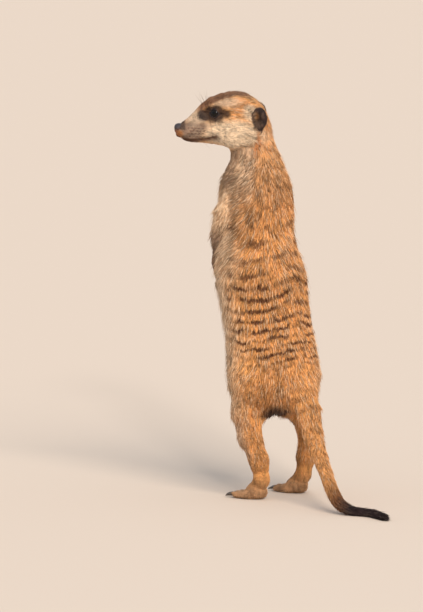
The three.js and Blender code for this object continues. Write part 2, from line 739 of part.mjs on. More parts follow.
function buildLeg(leg, word) {
  const side = Math.sign(leg.knee[0]);
  const middle = { at: [0, 0, 0], normal: [side, 0, 0] };
  const cuts = {
    hips: mirroredCut(CUTS.hips_leg, side),
    knee: mirroredCut(CUTS.thigh_shank, side),
    hock: mirroredCut(CUTS.shank_foot, side),
  };
  const [x, y] = leg.pad;
  const limbBox = [[min(0, side * 42), -50, 12], [max(0, side * 42), 30, 106]];
  const clear = (solid) => keep(solid, middle, 1);
  const thigh = clear(meshField(bodyField, limbBox, STEP.thigh));
  addSolid(`${word}_thigh`, keep(keep(thigh, cuts.hips, 1), cuts.knee, -1), TAN);
  const shankBox = [[limbBox[0][0], -50, 12], [limbBox[1][0], 30, 72]];
  const shank = clear(meshField(bodyField, shankBox, STEP.shank));
  addSolid(`${word}_shank`, keep(keep(shank, cuts.knee, 1), cuts.hock, -1), TAN);
  const footBox = [[x - 16, y - 31, -4], [x + 16, y + 20, 34]];
  const foot = onFloor(keep(meshField(bodyField, footBox, STEP.foot), cuts.hock, 1));
  const claws = { claw: TOE.claw, root: TOE_CLAW.root, bend: TOE_CLAW.bend, rise: 0.7 };
  addSolid(`${word}_foot`, addClaws(foot, toesOf(leg), claws, `${word}_foot`), GREY);
}

function buildArm(arm, word, trunk) {
  const field = armField(arm);
  const [shoulderX, elbowX, handX] = [arm.shoulder[0], arm.elbow[0], arm.knuckles[0]];
  const across = (joint, from, to) => ({
    at: joint.slice(0, 3),
    normal: [0, 1, 2].map((axis) => to[axis] - from[axis]),
  });
  const elbow = across(arm.elbow, arm.biceps, arm.wrist);
  const wrist = across(arm.wrist, arm.elbow, arm.fingertips);
  const [lowX, highX] = [min(shoulderX, elbowX, handX) - 14, max(shoulderX, elbowX, handX) + 14];
  const armBox = [[lowX, -72, 152], [highX, -14, 246]];
  const limb = meshField(field, armBox, STEP.arm).subtract(trunk);
  addSolid(`${word}_upper_arm`, keep(limb, elbow, -1), TAN);
  addSolid(`${word}_forearm`, keep(keep(limb, elbow, 1), wrist, -1), GREY);
  const handBox = [[handX - 12, -72, 144], [handX + 12, -50, 178]];
  const hand = keep(meshField(field, handBox, STEP.hand).subtract(trunk), wrist, 1);
  const claws = { claw: FINGER.claw, root: FINGER.clawRoot, bend: FINGER.clawBend, rise: 0.4 };
  addSolid(`${word}_hand`, addClaws(hand, fingersOf(arm), claws, `${word}_hand`), GREY);
}

buildHead();
buildTrunk();
buildTail();
const trunkAndGap = meshField(grown(rearField, ARM_GAP), TRUNK_BOX, STEP.trunk);
for (const word of ["left", "right"]) {
  buildLeg(LEGS[word], word);
  buildArm(ARMS[word], word, trunkAndGap);
}

// The origin is on the floor under the middle of the whole animal.
const extent = new THREE.Box3().setFromObject(meerkat);
const middle = extent.getCenter(new THREE.Vector3());
meerkat.position.set(-middle.x, -middle.y, -extent.min.z);
meerkat.updateMatrixWorld(true);

export default meerkat;
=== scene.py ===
"""Looks of the standing meerkat: a skin over the solids, eyes, nose, claws, whiskers and a coat of tufts.

Inside this script, lengths are in millimetres and the animal faces -Y with its left at +X. A mesh is moved to
the frame's own place, in metres, when it is made.
"""
import math

import bmesh
import bpy
import numpy as np
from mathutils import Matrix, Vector


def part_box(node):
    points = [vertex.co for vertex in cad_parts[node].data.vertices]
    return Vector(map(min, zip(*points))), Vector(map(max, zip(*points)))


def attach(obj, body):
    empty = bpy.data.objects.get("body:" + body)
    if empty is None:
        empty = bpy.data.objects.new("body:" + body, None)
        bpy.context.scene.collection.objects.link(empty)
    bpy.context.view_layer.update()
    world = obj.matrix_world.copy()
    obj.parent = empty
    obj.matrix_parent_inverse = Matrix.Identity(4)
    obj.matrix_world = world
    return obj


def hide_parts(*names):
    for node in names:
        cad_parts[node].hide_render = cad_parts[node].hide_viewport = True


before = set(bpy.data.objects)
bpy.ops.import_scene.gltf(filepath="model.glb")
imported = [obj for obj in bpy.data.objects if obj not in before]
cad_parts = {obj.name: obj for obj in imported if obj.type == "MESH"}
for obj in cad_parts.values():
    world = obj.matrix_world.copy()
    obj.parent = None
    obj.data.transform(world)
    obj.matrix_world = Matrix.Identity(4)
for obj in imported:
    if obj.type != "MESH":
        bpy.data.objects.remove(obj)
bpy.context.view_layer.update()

MM = 0.001
RNG = np.random.default_rng(20)
LATTICE = np.random.default_rng(7).random((32, 32, 32))
SKEW = np.linalg.qr(np.array([[0.8, 0.3, -0.4], [-0.2, 0.9, 0.5], [0.5, -0.3, 0.7]]))[0]

# ---------------- places on the animal

HEAD_AT = np.array([0.0, -31.0, 0.0])
HEAD_TURN = math.sqrt(0.5)
EYE = np.array([28.0, 11.0, 288.6])
EYE_RADIUS = 4.8
EYE_LOOKS = np.array([0.47, 0.87, 0.06])
EYE_WIDE, EYE_HIGH = math.radians(41), math.radians(35)
NOSE = np.array([55.8, 0.0, 275.9])
NOSE_SIZE = np.array([4.0, 4.7, 4.2])
LIP = np.array([55.0, 0.0, 272.0])
LIP_SIZE = np.array([4.1, 4.2, 2.9])
EAR_AT, EAR_SIZE, EAR_LEAN = (-4.0, 284.5), (6.3, 9.3), 0.12
# the middle of the painted shadow under the tail root, over the vent
SHADE_UNDER_TAIL = np.array([12.5, 5, 72])

SIDES = ("left", "right")
FLESH = ["head", "neck", "chest", "belly", "hips", "tail_base", "tail_middle", "tail_tip"]
FLESH += [f"{side}_{part}" for side in SIDES
          for part in ("ear", "thigh", "shank", "foot", "upper_arm", "forearm", "hand")]


def from_head(places):
    """Places given as ahead, left and up of the head's own axis."""
    places = np.asarray(places, float)
    ahead, left, up = places[..., 0], places[..., 1], places[..., 2]
    return np.stack([HEAD_TURN * (ahead + left), HEAD_AT[1] + HEAD_TURN * (left - ahead), up], -1)


def to_head(places):
    """The same places as ahead, left and up of the head's own axis."""
    x, y = places[..., 0], places[..., 1] - HEAD_AT[1]
    return np.stack([HEAD_TURN * (x - y), HEAD_TURN * (x + y), places[..., 2]], -1)


eye_boxes = np.array([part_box("left_eye"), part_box("right_eye")], float) / MM
eye_middle = eye_boxes.reshape(-1, 3).mean(0)
SHIFT = eye_middle - from_head([EYE[0], 0, EYE[2]])
SHIFT[2] = 0.0


def box_middle(node):
    """The middle of a node's box, in this script's millimetres."""
    return np.array(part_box(node), float).mean(0) / MM - SHIFT


# The middles of the clefts between toes and between fingers, halfway between the claws beside them.
CLEFTS = []
for side in SIDES:
    for part in ("foot", "hand"):
        claws = [box_middle(f"{side}_{part}_claw_{k}") for k in (1, 2, 3, 4)]
        CLEFTS += [(part, (a + b) / 2) for a, b in zip(claws[:-1], claws[1:])]


def head_rows(*rows):
    """Rows of a line whose places are given in the head's own axes."""
    return [(*from_head(row[:3]), *row[3:]) for row in rows]


# Each line runs the way the hair lies: x, y, z, radius, hair length, depth of the coat, all in millimetres.
LINES = {
    "head": head_rows(
        (58, 0, 275.5, 5, 0.9, 0.25), (50, 0, 275.5, 8, 1.3, 0.35), (42, 0, 277.5, 11.5, 1.8, 0.5),
        (34, 0, 279.5, 15.5, 2.4, 0.6), (24, 0, 281.5, 19, 3.2, 0.8), (12, 0, 282, 22, 4.3, 1.0),
        (0, 0, 280, 22, 5.2, 1.3), (-9, 0, 268, 16, 6.2, 1.7)),
    "neck": [
        (0, -31, 272, 17, 6.0, 1.8), (0, -29.5, 256, 20, 7.0, 2.0), (0, -29, 236, 26, 8.5, 2.4),
        (0, -30, 214, 28, 9.5, 2.6)],
    "trunk": [
        (0, -30, 214, 28, 9.5, 2.6), (0, -27, 186, 31, 9.6, 2.7), (0, -20, 152, 34, 9.2, 2.7),
        (0, -12, 110, 35, 8.8, 2.6), (0, -9.5, 82, 34, 8.2, 2.4), (0, -8.5, 64, 20, 7, 2.0)],
    "tail": [
        (-1, 8, 97, 16, 8, 2.2), (1.5, 21, 83, 12.4, 8, 1.9), (6, 33.4, 64.6, 9.2, 7.2, 1.6),
        (16.4, 54.4, 38, 6.4, 6, 1.3), (27.6, 76.8, 18.2, 5.5, 5.2, 1.2), (31.8, 87.6, 9.6, 5.2, 5, 1.1),
        (32.2, 97.2, 4.8, 4.6, 5, 1.0), (26.5, 117, 2.8, 3.4, 5.5, 0.7), (31.5, 135.4, 2.4, 2.9, 5, 0.5)],
    "left_arm": [
        (16, -30, 231, 12, 8.5, 2.0), (23.2, -35.6, 214, 10, 6.8, 1.6), (23, -41, 196.5, 8.8, 4.2, 1.2),
        (15, -51, 185, 7, 3.4, 0.9), (7.8, -60.2, 174, 5.4, 3.4, 0.7), (5.2, -61, 166, 4.8, 2, 0.4),
        (4.6, -60, 155, 3.4, 1.2, 0.25)],
    "right_arm": [
        (-16, -30, 231, 12, 8.5, 2.0), (-23.4, -35.6, 214, 10, 6.8, 1.6),
        (-23.5, -41.5, 197, 8.8, 4.2, 1.2), (-16, -51, 182, 7, 3.4, 0.9), (-9.6, -61, 168, 5.4, 3.4, 0.7),
        (-10, -61.4, 159, 4.8, 2, 0.4), (-10, -60.6, 148, 3.4, 1.2, 0.25)],
    "left_leg": [
        (18.5, -9, 90, 20, 8, 2.2), (23.5, -14.5, 67, 13, 7, 1.8), (24, -10.8, 47, 9.4, 5.6, 1.3),
        (24, -1.6, 30, 7.2, 4.2, 1.0), (22.4, 0, 15, 5.6, 3, 0.7), (21.6, -6, 6, 6.4, 1.8, 0.4),
        (22.4, -22, 4, 5, 1.2, 0.25)],
    "right_leg": [
        (-18.5, -7, 90, 20, 8, 2.2), (-25.3, -5, 66, 13, 7, 1.8), (-27.3, 2, 47, 9.4, 5.6, 1.3),
        (-25, 0.4, 29, 7.2, 4.2, 1.0), (-22.8, -0.4, 15, 5.6, 3, 0.7), (-22.2, -6, 6, 6.4, 1.8, 0.4),
        (-23.4, -22, 4, 5, 1.2, 0.25)],
}
for side, sign in zip(SIDES, (1, -1)):
    LINES[f"{side}_ear"] = head_rows((-2, 17 * sign, 277, 5.5, 2.2, 0.4), (-4, 21 * sign, 285, 6, 1.7, 0.3),
                                     (-5, 22.5 * sign, 294, 4.5, 1.5, 0.25))
LINES = {name: np.array(rows, float) for name, rows in LINES.items()}
LINE_NAMES = list(LINES)


# ---------------- small mathematics

def rise(low, high, x):
    """0 below low, 1 above high, smooth between."""
    t = np.clip((x - low) / (high - low), 0, 1)
    return t * t * (3 - 2 * t)


def fall(low, high, x):
    """1 below low, 0 above high, smooth between."""
    return 1 - rise(low, high, x)


def spot(a, b, middle, size, edge):
    """1 inside a flat ellipse and 0 outside it, with a soft edge."""
    e = np.hypot((a - middle[0]) / size[0], (b - middle[1]) / size[1])
    return 1 - rise(1 - edge, 1 + edge, e)


def noise(places, size):
    """Smooth noise from -1 to 1 with blobs of the given size."""
    q = places @ SKEW / size + 100.0
    base = np.floor(q).astype(int)
    part = q - base
    part = part * part * (3 - 2 * part)
    total = np.zeros(len(places))
    for corner in np.ndindex(2, 2, 2):
        c = np.array(corner)
        i = (base + c) % 32
        total += np.prod(np.where(c, part, 1 - part), axis=1) * LATTICE[i[:, 0], i[:, 1], i[:, 2]]
    return total * 2 - 1


def unit(v):
    return v / np.maximum(np.linalg.norm(v, axis=-1, keepdims=True), 1e-9)


def beside(places, rows):
    """For each place: how many radii it is from a line, and the line's values and way there."""
    spans = np.diff(rows[:, :3], axis=0)
    ways = unit(spans)
    turns = unit(np.vstack([ways[:1], ways[:-1] + ways[1:], ways[-1:]]))
    n = len(places)
    best, part, at = np.full(n, 1e9), np.zeros(n, int), np.zeros(n)
    for k, span in enumerate(spans):
        arm = places - rows[k, :3]
        t = np.clip(arm @ (span / (span @ span)), 0, 1)
        arm -= t[:, None] * span
        score = np.sqrt(np.einsum("ij,ij->i", arm, arm)) / (rows[k, 3] + t * (rows[k + 1, 3] - rows[k, 3]))
        nearer = score < best
        best = np.where(nearer, score, best)
        part[nearer] = k
        at = np.where(nearer, t, at)
    value = rows[part] + at[:, None] * (rows[part + 1] - rows[part])
    way = turns[part] + at[:, None] * (turns[part + 1] - turns[part])
    return best, value, unit(way)


def lie(places):
    """The lie of the coat at places on the surface."""
    n = len(places)
    total, way, size = np.zeros(n), np.zeros((n, 3)), np.zeros((n, 2))
    scores = []
    for name, rows in LINES.items():
        score, value, along = beside(places, rows)
        if name in ("trunk", "neck"):
            side = np.clip(np.abs(places[:, 0]) / value[:, 3], 0, 1)
            z = places[:, 2]
            slant = 0.2 + 1.0 * rise(160, 200, z) * (1 - 0.65 * rise(232, 254, z))
            along = along + (side * slant)[:, None] * np.array([0, -1.0, 0])
        weight = np.maximum(score, 0.3) ** -9
        total += weight
        way += weight[:, None] * along
        size += weight[:, None] * value[:, 4:6]
        scores.append(score)
    length, depth = (size / total[:, None]).T
    region = np.argmin(scores, 0)
    return {"way": unit(way), "length": length, "depth": depth, "region": region, "score": scores}


# ---------------- markings, the same on skin and coat

COLOURS = ("rust", "cream", "grey", "brown", "black", "bare")
BAND_START, BAND_GAP, BAND_GROWTH = 104.0, 5.0, 0.068
BODY_HEIGHT = [64, 82, 110, 152, 186, 214, 256, 272]
BODY_Y = [-8.5, -9.5, -12, -20, -27, -30, -29.5, -31]
BODY_RADIUS = [20, 34, 35, 34, 31, 28, 20, 17]
LEG_HEIGHT, LEG_Y = [6, 15, 30, 47, 67, 90], [-6, 0, -1, -5, -10, -8]

# Places on the head seen from its side, as ahead and up.
HEAD_TOP = np.array([(-5, 295.5), (2, 300.8), (10, 303.9), (18, 303.9), (25, 302.6), (30, 300.7), (35, 298.2),
                     (40, 294.2), (45, 288.8), (50, 283.9), (54, 280.6)])
MOUTH = np.array([(58.5, 271.0), (55, 269.4), (50.5, 268.5), (46.3, 268.2), (40, 268.6), (34, 269.8),
                  (29.3, 271.4)])
WHISKER_ROOTS = [[(38.5 + 2.6 * column + 0.9 * (row % 2), 270.8 + 2.1 * row) for column in range(5)]
                 for row in range(4)]

# Spots on the head: strength, middle, half size, softness of the edge, and how far aside they fade in.
ACROSS = (-2, -1)
HEAD_SPOTS = {
    "cream": [(1.0, (17, 273.5), (25, 11), 0.35, ACROSS), (0.9, (5, 290), (6, 6.5), 0.4, (12, 16)),
              (0.9, (44.5, 284), (8, 5), 0.6, ACROSS)],
    "rust": [(0.5, (12, 294), (8, 6.5), 0.5, (8, 13)), (0.4, (39, 292), (4.5, 4.0), 0.5, (3, 6))],
    "grey": [(0.55, (26, 297), (10, 4), 0.6, (6, 9)), (0.55, (44.5, 284), (8, 5), 0.6, ACROSS)],
    "brown": [(0.65, (31.5, 270.6), (4.2, 2.0), 0.6, ACROSS)]
             + [(0.8, root, (0.75, 0.6), 0.5, (2.5, 4)) for row in WHISKER_ROOTS for root in row],
    "black": [(0.93, (30.8, 288.2), (7.6, 6.4), 0.2, (6, 8.5)),
              (0.93, (37.3, 286.6), (6.2, 4.2), 0.25, (5, 7)),
              (0.74, (31.5, 283.8), (6.2, 2.4), 0.4, (6, 8.5)),
              (0.9, (23.8, 288.6), (4.2, 3.2), 0.35, (8, 10))],
}


class Marks(dict):
    """How much of each colour every place has."""

    def __init__(self, count):
        super().__init__((name, np.zeros(count)) for name in COLOURS)

    def lay(self, colour, amount):
        """Lays more of a colour where the amount is above what is there."""
        self[colour] = np.maximum(self[colour], amount)


def backness(places):
    """How far back on the trunk or neck a place is: -1 in front, 0 at the side, 1 behind."""
    _, y, z = places.T
    return (y - np.interp(z, BODY_HEIGHT, BODY_Y)) / np.interp(z, BODY_HEIGHT, BODY_RADIUS)


def bands(places):
    """The bands across the back, closer together towards the rump: their count, and how strong they are."""
    x, _, z = places.T
    height = z + 0.2 * np.abs(x)
    height += 2.3 * noise(places * [1, 1, 0.7] + 17, 13.0) + 1.3 * noise(places + 29, 5.0)
    count = np.log1p(BAND_GROWTH * np.maximum(height - BAND_START, -12) / BAND_GAP) / BAND_GROWTH
    high = rise(158, 176, z)
    patch = rise(-0.42, 0.12, noise(places * [1, 1, 1.6] + 90, 6.5) - 0.14 * high) * (1 - 0.2 * high)
    on_back = rise(-0.55, 0.05, backness(places) + 0.15 * noise(places, 9.0))
    return count, on_back * rise(98, 108, z) * fall(203, 216, z) * (0.08 + 0.9 * patch)


def streaks(places):
    """Noise drawn out along the hair, for locks of lighter and darker hair."""
    on_head = rise(262, 270, places[:, 2])
    head = noise(to_head(places) * [0.3, 1, 1], 1.5)
    return on_head * head + (1 - on_head) * noise(places * [1, 1, 0.2] + 5, 1.7)


def mark_trunk(marks, places, off_head, wobble):
    """A golden back, paler flanks, and a grey chest and belly whose grey is partly painted shade."""
    lay, z, back = marks.lay, places[:, 2], backness(places)
    body = off_head * rise(50, 84, z + 5 * wobble)
    higher = rise(168, 200, z)
    front = fall(-0.75 - 0.2 * higher, -0.15 - 0.3 * higher, back + 0.1 * wobble)
    # grey fur on the front of chest and belly, darkened as painted shade
    lay("grey", 0.8 * body * front)
    flank = rise(-0.95, -0.5, back) * fall(-0.35, 0.3, back)
    lay("cream", body * (0.55 * flank + 0.3 * front))
    high_side = rise(154, 184, z) * fall(0.0, 0.62, back + 0.12 * wobble) * rise(-1.0, -0.7, back)
    lay("cream", 0.62 * body * high_side)
    lay("cream", 0.65 * body * rise(196, 222, z) * fall(-0.1, 0.9, back))
    lay("rust", 0.25 * body * rise(0.0, 0.7, back))


def mark_neck(marks, places, off_head, wobble, fine):
    """A throat in grey painted shade, a dark wedge of painted shadow under the jaw, and brown flecks on nape
    and shoulders.
    """
    lay, z, ahead, back = marks.lay, places[:, 2], to_head(places)[:, 0], backness(places)
    # painted shade under the head: grey and brown on the throat
    throat_shade = off_head * rise(205, 240, z) * fall(-1.05, -0.6, back + 0.15 * wobble)
    lay("grey", 0.75 * throat_shade)
    lay("brown", 0.2 * throat_shade)
    front = off_head * rise(218, 244, z) * rise(-6, 2, ahead + 0.5 * wobble)
    lay("cream", 0.6 * front)
    # grey painted shade on the front of the neck
    lay("grey", 0.2 * front)
    # a painted shadow under the jaw, as a dark brown wedge
    from_jaw_shadow = np.abs(ahead - 15.5 - 0.05 * (250 - z)) + 1.5 * fine
    lay("brown", 0.55 * front * fall(3.5, 8.0, from_jaw_shadow) * rise(232, 240, z))
    lay("brown", 0.2 * front * rise(0.1, 0.6, streaks(places)))
    nape = off_head * rise(214, 240, z) * rise(0.1, 0.6, back)
    lay("cream", 0.12 * nape)
    lay("brown", nape * np.maximum(0.18, 0.5 * rise(0.15, 0.6, streaks(places * 0.8))))
    flecked = off_head * rise(186, 206, z) * fall(236, 250, z) * rise(-0.2, 0.5, back)
    lay("brown", 0.38 * flecked * rise(0.2, 0.65, noise(places * [1, 1, 0.7] + 33, 4.0)))


def mark_limbs(marks, places, score, wobble):
    """Warm legs with greyer fronts and feet, partly painted shade, and painted shade in grey and brown on the
    arms.
    """
    lay = marks.lay
    _, y, z = places.T
    legs = np.minimum(score["left_leg"], score["right_leg"])
    arms = np.minimum(score["left_arm"], score["right_arm"])
    on_leg = fall(-0.1, 0.15, legs - score["trunk"]) * fall(60, 90, z)
    lay("rust", 0.3 * on_leg * rise(20, 34, z) * (0.8 + 0.4 * wobble))
    before = on_leg * fall(-8, 1, y - np.interp(z, LEG_HEIGHT, LEG_Y) + 1.5 * wobble)
    # grey fur on the leg fronts, darkened as painted shade
    lay("grey", 0.5 * before)
    lay("cream", 0.35 * before * rise(24, 50, z))
    lay("brown", 0.25 * fall(70, 100, z) * (1 - 0.5 * rise(-0.2, 0.3, wobble)))
    # grey fur on the lower legs and feet, darkened as painted shade
    lay("grey", 0.5 * on_leg * fall(4, 22, z))
    # painted shade on the arms: grey and brown laid over them, and their cream taken away
    shaded_arm = fall(-0.15, 0.1, arms - score["trunk"]) * fall(196, 212, z)
    lay("grey", 0.8 * shaded_arm)
    lay("brown", 0.7 * shaded_arm)
    marks["cream"] *= 1 - 0.9 * shaded_arm
    # painted shade in the clefts between toes and between fingers
    lay("black", 0.8 * toe_clefts(places))


def mark_tail(marks, places, score, wobble, fine):
    """A tail that darkens to a black tip, with painted shadow on the vent under its root. Returns where the
    tail is.
    """
    lay, y = marks.lay, places[:, 1]
    other = np.minimum(score["trunk"], np.minimum(score["left_leg"], score["right_leg"]))
    on_tail = fall(-0.1, 0.2, score["tail"] - other) * rise(14, 26, y)
    marks["grey"] *= 1 - on_tail
    lay("rust", 0.2 * on_tail)
    lay("brown", 0.9 * on_tail * rise(66, 90, y + 3 * wobble))
    lay("black", on_tail * rise(86, 99, y + 2 * wobble))
    # painted shadow under the tail root, over the vent
    from_tail_shade = np.linalg.norm((places - SHADE_UNDER_TAIL) * [0.95, 0.95, 0.65], axis=1)
    lay("black", 0.93 * fall(6, 14, from_tail_shade + 1.5 * fine))
    return on_tail


def head_marks(places, wobble, fine):
    """The marks of the head and ears."""
    head = to_head(places)
    ahead, left, up = head.T
    aside = np.abs(left)
    jitter = 0.8 * (fine + wobble)
    marks = Marks(len(places))
    lay = marks.lay
    for colour, spots in HEAD_SPOTS.items():
        for strength, middle, size, edge, fade in spots:
            lay(colour, strength * spot(ahead, up, middle, size, edge) * rise(*fade, aside))
    # a pale brow, a pale chin, and a rusty nape
    brow = spot(ahead, up - 0.12 * (24 - ahead), (22 + jitter, 296), (10, 2.6), 0.6)
    lay("cream", 0.58 * brow * rise(6, 9, aside))
    lay("cream", 0.75 * fall(264, 271, up) * rise(0, 12, ahead))
    lay("rust", 0.3 * fall(-6, 4, ahead))
    # the crown is dark down to a line below the head's outline
    below_top = np.interp(ahead, *HEAD_TOP.T) - up
    crown = fall(1.6, 3.8, below_top - 1.2 * rise(14, 22, ahead) + 0.6 * jitter)
    crown *= rise(2, 10, ahead) * fall(40, 46, ahead)
    lay("grey", 0.7 * crown)
    lay("brown", 0.84 * crown)
    lay("brown", 0.5 * fall(0.6, 2.2, below_top + 0.5 * jitter) * fall(6, 12, ahead))
    # the muzzle: grey with brown flecks, dark above the nose and reddish under it
    lip = rise(52.2, 56.0, ahead + 0.8 * fine) * fall(273.8, 276.4, up + 0.4 * fine)
    snout = rise(35, 41, ahead + 0.5 * (up - 275) + jitter) * fall(279, 284, up + jitter)
    ridge = fall(4, 8, aside) * rise(36, 42, ahead) * fall(53, 56, ahead) * rise(276, 280, up)
    lay("rust", 0.8 * lip)
    lay("grey", 0.95 * snout * (1 - lip))
    lay("grey", 0.6 * ridge)
    lay("brown", 0.5 * snout * rise(0.0, 0.6, fine) * (1 - lip))
    lay("brown", 0.45 * snout * rise(47, 52, ahead))
    lay("brown", 0.9 * fall(0.5, 2.2, mouth_line(places)))
    lay("black", 0.75 * rise(51.0, 52.8, ahead + 0.3 * fine) * rise(275.0, 276.6, up))
    # the ears
    on_ear = spot(ahead, up + 0.3 * jitter, (-4.0, 283.8), (7.4, 9.8), 0.14) * rise(16.2, 18.0, aside)
    inner = spot(ahead, up, (-1.4, 286.8), (2.6, 3.4), 0.5) * on_ear
    hollow = spot(ahead, up, (-2.8, 280.4), (2.8, 3.4), 0.5) * on_ear
    folds = np.clip(0.3 * sum(ear_folds(*ear_frame(head))[:3]), 0, 0.5)
    lay("black", 0.95 * on_ear * (1 - 0.5 * inner) * (1 - 0.4 * folds) * (1 - 0.3 * hollow))
    lay("grey", 0.85 * on_ear * (1 - inner))
    lay("brown", 0.4 * on_ear)
    marks["cream"] *= 1 - on_ear * (1 - inner)
    return marks


def markings(places, scores):
    """How much of each of the COLOURS every place has."""
    score = dict(zip(LINE_NAMES, scores))
    z = places[:, 2]
    ahead, left, up = to_head(places).T
    wobble, fine = noise(places, 7.0), noise(places + 40, 3.0)
    on_head = rise(258, 266, z) * fall(-0.12, 0.12, score["head"] - score["neck"])
    on_head = np.maximum(on_head, rise(272, 276, z))
    marks = Marks(len(places))
    mark_trunk(marks, places, 1 - on_head, wobble)
    mark_neck(marks, places, 1 - on_head, wobble, fine)
    mark_limbs(marks, places, score, wobble)
    on_tail = mark_tail(marks, places, score, wobble, fine)
    face = head_marks(places, wobble, fine)
    for name in COLOURS:
        face[name] = np.clip(face[name], 0, 1) * on_head
    face["rust"] *= 1 - 0.6 * face["cream"]
    for name in COLOURS:
        marks[name] = marks[name] * (1 - on_head) + face[name]
    crease = spot(ahead, up, (-1.5, 268), (2.4, 9), 0.6) * rise(9, 13, np.abs(left))
    marks.lay("rust", 0.8 * crease)
    marks["cream"] *= 1 - 0.8 * crease
    # bare skin: lids, lips and soles
    marks.lay("bare", fall(1.3, 1.6, eye_opening(places)[0]))
    marks.lay("bare", on_head * fall(0.3, 0.9, mouth_line(places)))
    marks.lay("bare", fall(1.0, 2.6, z) * (1 - on_tail))
    return np.clip(np.stack([marks[name] for name in COLOURS], -1), 0, 1)


def toe_clefts(places):
    """1 in the clefts between the toes and between the fingers, 0 away from them."""
    near = np.zeros(len(places))
    for part, middle in CLEFTS:
        arm = places - middle
        run, thick = (arm[:, 1], arm[:, 2]) if part == "foot" else (arm[:, 2], arm[:, 1])
        end = 6 if part == "foot" else 10
        inside = rise(-4, 0, run) * fall(end, end + 5, run) * (np.abs(thick) < 8)
        near = np.maximum(near, np.exp(-(arm[:, 0] / 0.7) ** 2) * inside)
    return near


def mouth_line(places):
    """Distance from the closed mouth's line, seen from the side."""
    side = to_head(places)[:, [0, 2]]
    best = np.full(len(places), 1e9)
    for a, b in zip(MOUTH[:-1], MOUTH[1:]):
        t = np.clip((side - a) @ (b - a) / ((b - a) @ (b - a)), 0, 1)
        best = np.minimum(best, np.linalg.norm(side - a - t[:, None] * (b - a), axis=1))
    return best


def eye_axes(look):
    """Across and above, for an eye that looks this way."""
    across = unit(np.cross([0, 0, 1.0], look))
    return across, np.cross(look, across)


def eye_opening(places):
    """1 on the edge of the lids, smaller over the eye; with each place's arm from the eye's middle."""
    local = to_head(places)
    side = np.sign(local[:, 1])
    local[:, 1] = np.abs(local[:, 1])
    arm = local - EYE
    reach = np.linalg.norm(arm, axis=1)
    look = unit(EYE_LOOKS)
    across, above = eye_axes(look)
    way = arm / np.maximum(reach, 1e-6)[:, None]
    ahead = -np.arctan2(way @ across, way @ look)
    rises = np.arctan2(way @ above, way @ look)
    # an almond, a little lower at the inner corner
    tilt = rises - 0.12 * ahead
    slim = 1 - 0.28 * np.clip(np.abs(ahead) / EYE_WIDE, 0, 1.2) ** 2
    gap = np.hypot(ahead / EYE_WIDE, tilt / (EYE_HIGH * slim))
    gap[((way @ look) < 0.05) | (reach > 11)] = 9.0
    return gap, reach, way, side


# ---------------- meshes

def placed(name, data):
    """A new object in the scene."""
    thing = bpy.data.objects.new(name, data)
    bpy.context.scene.collection.objects.link(thing)
    return thing


def pull(items, name, width, kind=np.float32):
    """A property of a mesh's points, edges or triangles, one row for each."""
    values = np.empty(len(items) * width, kind)
    items.foreach_get(name, values)
    return values.reshape(-1, width)


def read(mesh):
    """A mesh's places in this script's millimetres."""
    return pull(mesh.vertices, "co", 3).astype(float) / MM - SHIFT


def write(mesh, places):
    mesh.vertices.foreach_set("co", ((places + SHIFT) * MM).astype(np.float32).ravel())
    mesh.update()


def edges_of(mesh):
    return pull(mesh.edges, "vertices", 2, np.int32)


def normals_of(mesh):
    return pull(mesh.vertices, "normal", 3).astype(float)


def put(mesh, name, values):
    """Keeps a number or three for each of the mesh's points, for its material to read."""
    kind, key = ("FLOAT", "value") if values.ndim == 1 else ("FLOAT_VECTOR", "vector")
    attribute = mesh.attributes.new(name, kind, "POINT")
    attribute.data.foreach_set(key, np.ascontiguousarray(values, np.float32).ravel())


def dress(mesh, name):
    """Gives a mesh one material and no other."""
    mesh.materials.clear()
    mesh.materials.append(materials[name])


def triangle_object(name, places, faces, uv):
    """A new object of triangles, with a place on the unwrap for each of their corners."""
    mesh = bpy.data.meshes.new(name)
    mesh.vertices.add(len(places))
    write(mesh, places)
    mesh.loops.add(faces.size)
    mesh.loops.foreach_set("vertex_index", faces.astype(np.int32).ravel())
    mesh.polygons.add(len(faces))
    mesh.polygons.foreach_set("loop_start", np.arange(0, faces.size, 3, dtype=np.int32))
    mesh.update(calc_edges=True)
    mesh.validate()
    mesh.shade_smooth()
    mesh.uv_layers.new(name="OFBake").data.foreach_set("uv", uv.astype(np.float32).ravel())
    return placed(name, mesh)


def ball(name, spokes, rings):
    """A mesh of a ball with a radius of 1, and its places."""
    bm = bmesh.new()
    bmesh.ops.create_uvsphere(bm, u_segments=spokes, v_segments=rings, radius=1.0)
    mesh = bpy.data.meshes.new(name)
    bm.to_mesh(mesh)
    bm.free()
    mesh.shade_smooth()
    return mesh, pull(mesh.vertices, "co", 3).astype(float)


def joined_copy(name, nodes, swell):
    """One object from copies of CAD nodes, each swollen a little so that they run into each other."""
    whole = bmesh.new()
    for node in nodes:
        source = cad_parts[node]
        part = source.data.copy()
        part.transform(source.matrix_world)
        bm = bmesh.new()
        bm.from_mesh(part)
        bmesh.ops.remove_doubles(bm, verts=bm.verts, dist=0.00002)
        bm.normal_update()
        for v in bm.verts:
            v.co += v.normal * swell * MM
        bm.to_mesh(part)
        bm.free()
        whole.from_mesh(part)
        bpy.data.meshes.remove(part)
    mesh = bpy.data.meshes.new(name)
    whole.to_mesh(mesh)
    whole.free()
    return placed(name, mesh)


def modify(piece, kind, **settings):
    """Puts what a modifier makes of the piece's mesh in that mesh's place."""
    change = piece.modifiers.new(kind.lower(), kind)
    for key, value in settings.items():
        setattr(change, key, value)
    evaluated = piece.evaluated_get(bpy.context.evaluated_depsgraph_get())
    mesh = bpy.data.meshes.new_from_object(evaluated)
    piece.modifiers.clear()
    old = piece.data
    piece.data = mesh
    bpy.data.meshes.remove(old)
    mesh.shade_smooth()


